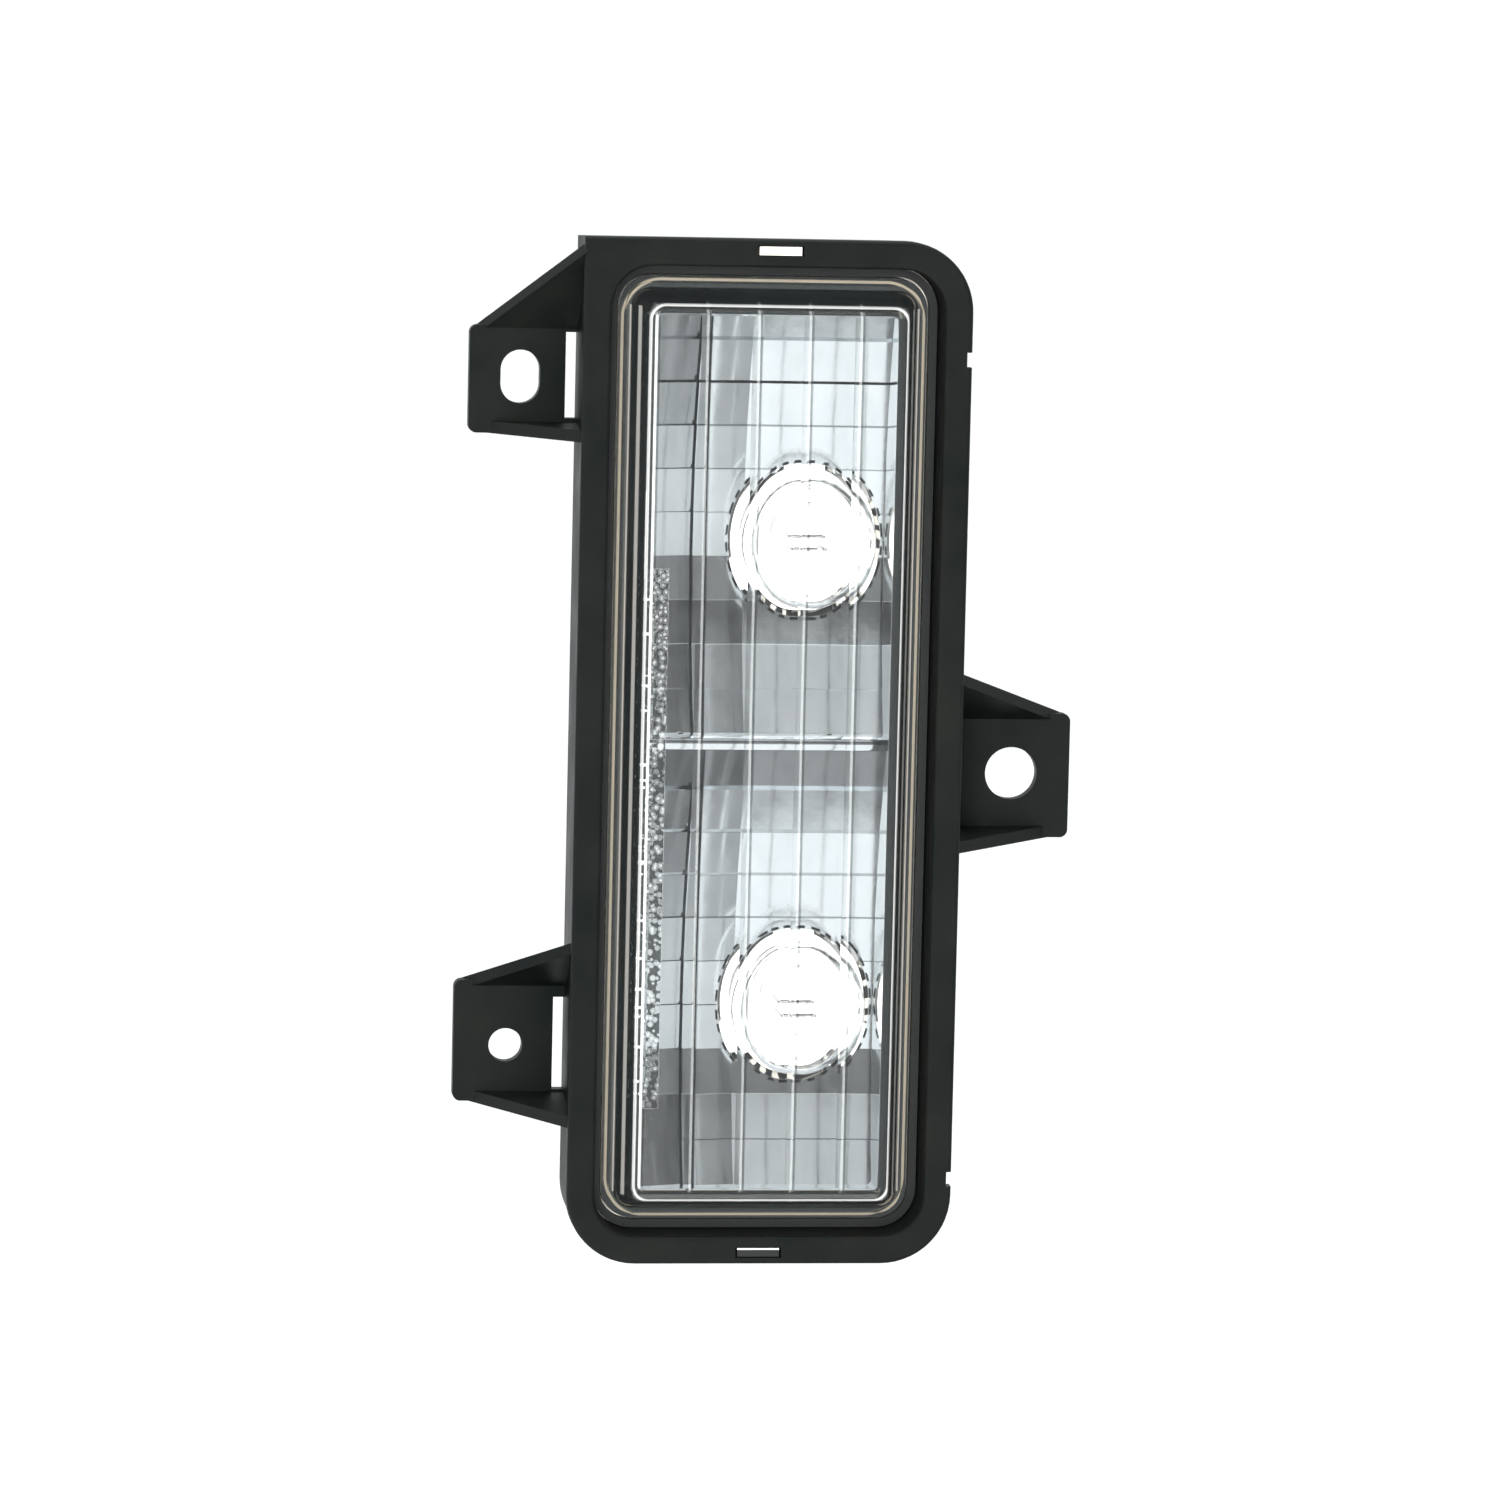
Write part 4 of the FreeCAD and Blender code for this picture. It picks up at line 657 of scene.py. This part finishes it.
def rounded_loop(half_x, half_z, radius, depth, steps=8):
    """Points round a rounded rectangle about the lamp's centre."""
    points = []
    for quarter in range(4):
        sign_x = (1, -1, -1, 1)[quarter]
        sign_z = (1, 1, -1, -1)[quarter]
        for i in range(steps + 1):
            angle = math.pi / 2 * (quarter + i / steps)
            points.append((LAMP_X + sign_x * (half_x - radius) + radius * math.cos(angle), depth,
                           LAMP_Z + sign_z * (half_z - radius) + radius * math.sin(angle)))
    return points


def ring_mesh(name, loops):
    """Closed tube through loops of points that all have the same count."""
    count = len(loops[0])
    points = [point for loop in loops for point in loop]
    faces = []
    for a in range(len(loops)):
        b = (a + 1) % len(loops)
        for i in range(count):
            j = (i + 1) % count
            faces.append((a * count + i, a * count + j, b * count + j, b * count + i))
    return mesh_from(name, points, faces)


def reflector_rim(name):
    """Side walls of the reflector: one ring with a rolled front edge."""
    outer, inner = HALF_ACROSS + WALL, HALF_ACROSS
    front, edge = REFLECTOR_FRONT, RIM_EDGE
    profile = [(outer, RIM_REAR), (outer, front + edge), (outer - edge, front),
               (inner + edge, front), (inner, front + edge), (inner, RIM_REAR)]
    loops = []
    for half, depth in profile:
        corner = max(RIM_CORNER - (outer - half), RIM_LEAST_CORNER)
        loops.append(rounded_loop(half, half + HALF_TALLER, corner, depth))
    return ring_mesh(name, loops)


def bar_mesh(name, half_x, front, rear, low, high, edge):
    """Bar across the lamp with rounded front edges."""
    nip = 0.3 * edge         # a rounded edge passes this far inside its corner
    profile = [(rear, low), (front + edge, low), (front + nip, low + nip), (front, low + edge),
               (front, high - edge), (front + nip, high - nip), (front + edge, high), (rear, high)]
    points = [(LAMP_X + side * half_x, y, LAMP_Z + z) for side in (-1, 1) for y, z in profile]
    count = len(profile)
    faces = [(i, (i + 1) % count, count + (i + 1) % count, count + i) for i in range(count)]
    faces += [tuple(range(count))[::-1], tuple(range(count, 2 * count))]
    return mesh_from(name, points, faces)


def tube_ring(name, x, z, inner, outer, front, rear, sides=48):
    """Short tube along the lamp's depth, such as a boss."""
    loops = []
    for radius, depth in ((outer, rear), (outer, front), (inner, front), (inner, rear)):
        loops.append([(LAMP_X + x + radius * math.cos(2 * math.pi * i / sides), depth,
                       LAMP_Z + z + radius * math.sin(2 * math.pi * i / sides)) for i in range(sides)])
    return ring_mesh(name, loops)


def tidy(mesh):
    """Merge doubled points and turn every face outwards."""
    shape = bmesh.new()
    shape.from_mesh(mesh)
    bmesh.ops.remove_doubles(shape, verts=shape.verts, dist=SHORTEST_EDGE)
    bmesh.ops.recalc_face_normals(shape, faces=shape.faces)
    shape.to_mesh(mesh)
    shape.free()
    return mesh


def add_reflector_piece(name, mesh, smooth_angle=35):
    add_piece(name, mesh, "bright_reflector", replaced=("reflector",), smooth_angle=smooth_angle)


def make_reflector():
    half = HALF_ACROSS + HALF_TALLER
    limits = {"upper": (DIVIDER_Z + WALL, half), "lower": (-half, DIVIDER_Z - WALL)}
    for which in BULBS:
        name = f"{which}_mirror"
        axis_x, axis_z = bulb_axis(which)
        mesh = chamber_sheet(name, *limits[which], axis_x - LAMP_X, axis_z - LAMP_Z, LEANS_ON[which])
        add_reflector_piece(name, mesh, smooth_angle=MIRROR_SHARP)
    add_reflector_piece("reflector_rim", tidy(reflector_rim("reflector_rim")))
    divider = bar_mesh("reflector_divider", HALF_ACROSS, REFLECTOR_FRONT, DIVIDER_REAR,
                       DIVIDER_Z - WALL, DIVIDER_Z + WALL, DIVIDER_EDGE)
    add_reflector_piece("reflector_divider", tidy(divider))
    for side, name in ((-1, "left_boss"), (1, "right_boss")):
        boss = tube_ring(name, side * BOSS_ASIDE, DIVIDER_Z, *BOSS_RADII, *BOSS_DEPTHS)
        add_reflector_piece(name, tidy(boss))


# ---------------------------------------------------------------- filaments

COIL_RADIUS = 0.36 * MM
COIL_WIRE = 0.075 * MM
COIL_LENGTH = 5.2 * MM
COIL_TURNS = 22
COIL_STEPS = 12
FILAMENTS = (("bright", -1.6 * MM, -1.1 * MM), ("dim", 2.6 * MM, 1.1 * MM))


def coil_mesh(name, x, y, z):
    """Wire wound along X: a ring of points at each step of the helix."""
    sides = 6
    points, faces = [], []
    steps = COIL_TURNS * COIL_STEPS
    for i in range(steps + 1):
        turn = 2 * math.pi * i / COIL_STEPS
        along = x + COIL_LENGTH * (i / steps - 0.5)
        for j in range(sides):
            around = 2 * math.pi * j / sides
            reach = COIL_RADIUS + COIL_WIRE * math.cos(around)
            points.append((along + COIL_WIRE * math.sin(around), y + reach * math.cos(turn),
                           z + reach * math.sin(turn)))
    for i in range(steps):
        for j in range(sides):
            k = (j + 1) % sides
            faces.append((i * sides + j, i * sides + k, (i + 1) * sides + k, (i + 1) * sides + j))
    faces.append(tuple(range(sides)))
    faces.append(tuple(range(steps * sides, (steps + 1) * sides))[::-1])
    return tidy(mesh_from(name, points, faces))


def make_filaments():
    for which in BULBS:
        axis_x, axis_z = bulb_axis(which)
        for kind, depth, offset in FILAMENTS:
            name = f"{which}_{kind}_coil"
            add_piece(name, coil_mesh(name, axis_x, depth, axis_z + offset), "filament_wire",
                      body=f"{which}_bulb_holder", replaced=(f"{which}_filaments",))


# ---------------------------------------------------------------- studio

# How bright the studio looks in each direction: (sine of the elevation, brightness).
# The pale floor lies below, a dark room in front and a wide softbox overhead.
SURROUND = ((-1.0, 0.06), (-0.84, 0.09), (-0.72, 0.11), (-0.60, 0.22), (-0.45, 0.42), (-0.25, 0.54),
            (-0.09, 0.46), (-0.02, 0.14), (0.13, 0.10), (0.24, 0.025), (0.42, 0.02), (0.58, 0.06),
            (0.64, 0.50), (0.85, 0.60), (0.90, 1.6))
# Pale cards on every side but the right: (lowest and highest sine of the elevation, brightness).
CARDS = ((-0.95, -0.80, 0.24), (-0.80, -0.04, 0.78), (0.30, 0.62, 0.36))
# How far right the cards reach in X, and their share of light up to there.
CARD_EDGES = ((0.27, 1.0), (0.46, 0.38))
CARD_BLUR = 0.01             # softness of the cards' upper and lower edges
EDGE_BLUR = 0.015            # softness of their right-hand edges
BEHIND = 0.62                # how bright the studio looks behind the lamp
SIDE, BACKDROP = -0.1, 0.3   # that brightness comes in between these directions, in Y
SURROUND_TINT = (0.96, 0.985, 1.0)
SURROUND_STRENGTH = 1.5
BACKDROP_STRENGTH = 1.2      # what the camera itself sees
FLOOR_BELOW = 0.25
FLOOR_REACH = 30


def make_floor():
    floor_z = cad_box[0][2] - FLOOR_BELOW
    corners = [(FLOOR_REACH * x, FLOOR_REACH * y, floor_z) for x, y in ((-1, -1), (1, -1), (1, 1), (-1, 1))]
    floor = bpy.data.objects.new("floor", mesh_from("floor", corners, [(0, 1, 2, 3)]))
    bpy.context.scene.collection.objects.link(floor)
    paint = Paint("floor_paint", Roughness=0.7)
    paint.colour(paint.spread(paint.noise(0.4), 0, 1), (0.94, 0.94, 0.94), (0.97, 0.97, 0.97))
    floor.data.materials.append(paint.material)
    floor.visible_glossy = False         # mirrors and glass see the surround's own floor instead
    floor.visible_transmission = False


def make_surround():
    world = bpy.data.worlds.new("studio")
    bpy.context.scene.world = world
    world.use_nodes = True
    nodes, links = world.node_tree.nodes, world.node_tree.links
    nodes.clear()

    def mapped(source, from_low, from_high, low, high):
        item = nodes.new("ShaderNodeMapRange")
        item.inputs["From Min"].default_value = from_low
        item.inputs["From Max"].default_value = from_high
        item.inputs["To Min"].default_value = low
        item.inputs["To Max"].default_value = high
        links.new(source, item.inputs["Value"])
        return item.outputs["Result"]

    def maths(operation, first, second):
        item = nodes.new("ShaderNodeMath")
        item.operation = operation
        links.new(first, item.inputs[0])
        links.new(second, item.inputs[1])
        return item.outputs["Value"]

    split = nodes.new("ShaderNodeSeparateXYZ")
    links.new(nodes.new("ShaderNodeTexCoord").outputs["Generated"], split.inputs["Vector"])
    ramp = nodes.new("ShaderNodeValToRGB")
    stops = ramp.color_ramp.elements
    while len(stops) < len(SURROUND):
        stops.new(0.5)
    for stop, (rise, light) in zip(stops, SURROUND):
        stop.position = (rise + 1) / 2
        stop.color = (light, light, light, 1)
    links.new(mapped(split.outputs["Z"], -1, 1, 0, 1), ramp.inputs["Fac"])
    near, far = [mapped(split.outputs["X"], edge + EDGE_BLUR, edge - EDGE_BLUR, 0, share)
                 for edge, share in CARD_EDGES]
    leftwards = maths("MAXIMUM", near, far)
    light = ramp.outputs["Color"]
    for low, high, bright in CARDS:
        over_foot = mapped(split.outputs["Z"], low - CARD_BLUR, low + CARD_BLUR, 0, bright)
        under_head = mapped(split.outputs["Z"], high + CARD_BLUR, high - CARD_BLUR, 0, 1)
        card = maths("MULTIPLY", maths("MULTIPLY", leftwards, over_foot), under_head)
        light = maths("MAXIMUM", light, card)
    light = maths("MAXIMUM", light, mapped(split.outputs["Y"], SIDE, BACKDROP, 0, BEHIND))
    tint = nodes.new("ShaderNodeVectorMath")
    tint.operation = "MULTIPLY"
    links.new(light, tint.inputs[0])
    tint.inputs[1].default_value = SURROUND_TINT
    lit = nodes.new("ShaderNodeBackground")
    lit.inputs["Strength"].default_value = SURROUND_STRENGTH
    links.new(tint.outputs["Vector"], lit.inputs["Color"])
    plain = nodes.new("ShaderNodeBackground")
    plain.inputs["Color"].default_value = (1, 1, 1, 1)
    plain.inputs["Strength"].default_value = BACKDROP_STRENGTH
    path = nodes.new("ShaderNodeLightPath")
    choose = nodes.new("ShaderNodeMixShader")
    links.new(path.outputs["Is Camera Ray"], choose.inputs["Fac"])
    links.new(lit.outputs["Background"], choose.inputs[1])
    links.new(plain.outputs["Background"], choose.inputs[2])
    output = nodes.new("ShaderNodeOutputWorld")
    links.new(choose.outputs["Shader"], output.inputs["Surface"])


def make_softbox(name, azimuth, elevation, distance, width, watts):
    """Soft light aimed at the lamp; the mirrors and the glass don't show it."""
    data = bpy.data.lights.new(name, "AREA")
    data.shape = "SQUARE"
    data.size = width
    data.energy = watts
    item = bpy.data.objects.new(name, data)
    bpy.context.scene.collection.objects.link(item)
    azimuth, elevation = math.radians(azimuth), math.radians(elevation)
    outward = Vector((math.cos(elevation) * math.sin(azimuth), -math.cos(elevation) * math.cos(azimuth),
                      math.sin(elevation)))
    turn = outward.to_track_quat("Z", "Y").to_matrix().to_4x4()
    item.matrix_world = Matrix.Translation(Vector((LAMP_X, 0, LAMP_Z)) + outward * distance) @ turn
    item.visible_glossy = False
    item.visible_transmission = False
    item.visible_camera = False


def make_studio():
    make_floor()
    make_surround()
    make_softbox("key", -14, 14, 1.6, 0.5, 60)
    make_softbox("fill", 20, -10, 1.6, 0.7, 16)


make_camera()
paint_cad_nodes()
make_reflector()
make_filaments()
make_studio()
bpy.context.scene.view_settings.view_transform = "Standard"
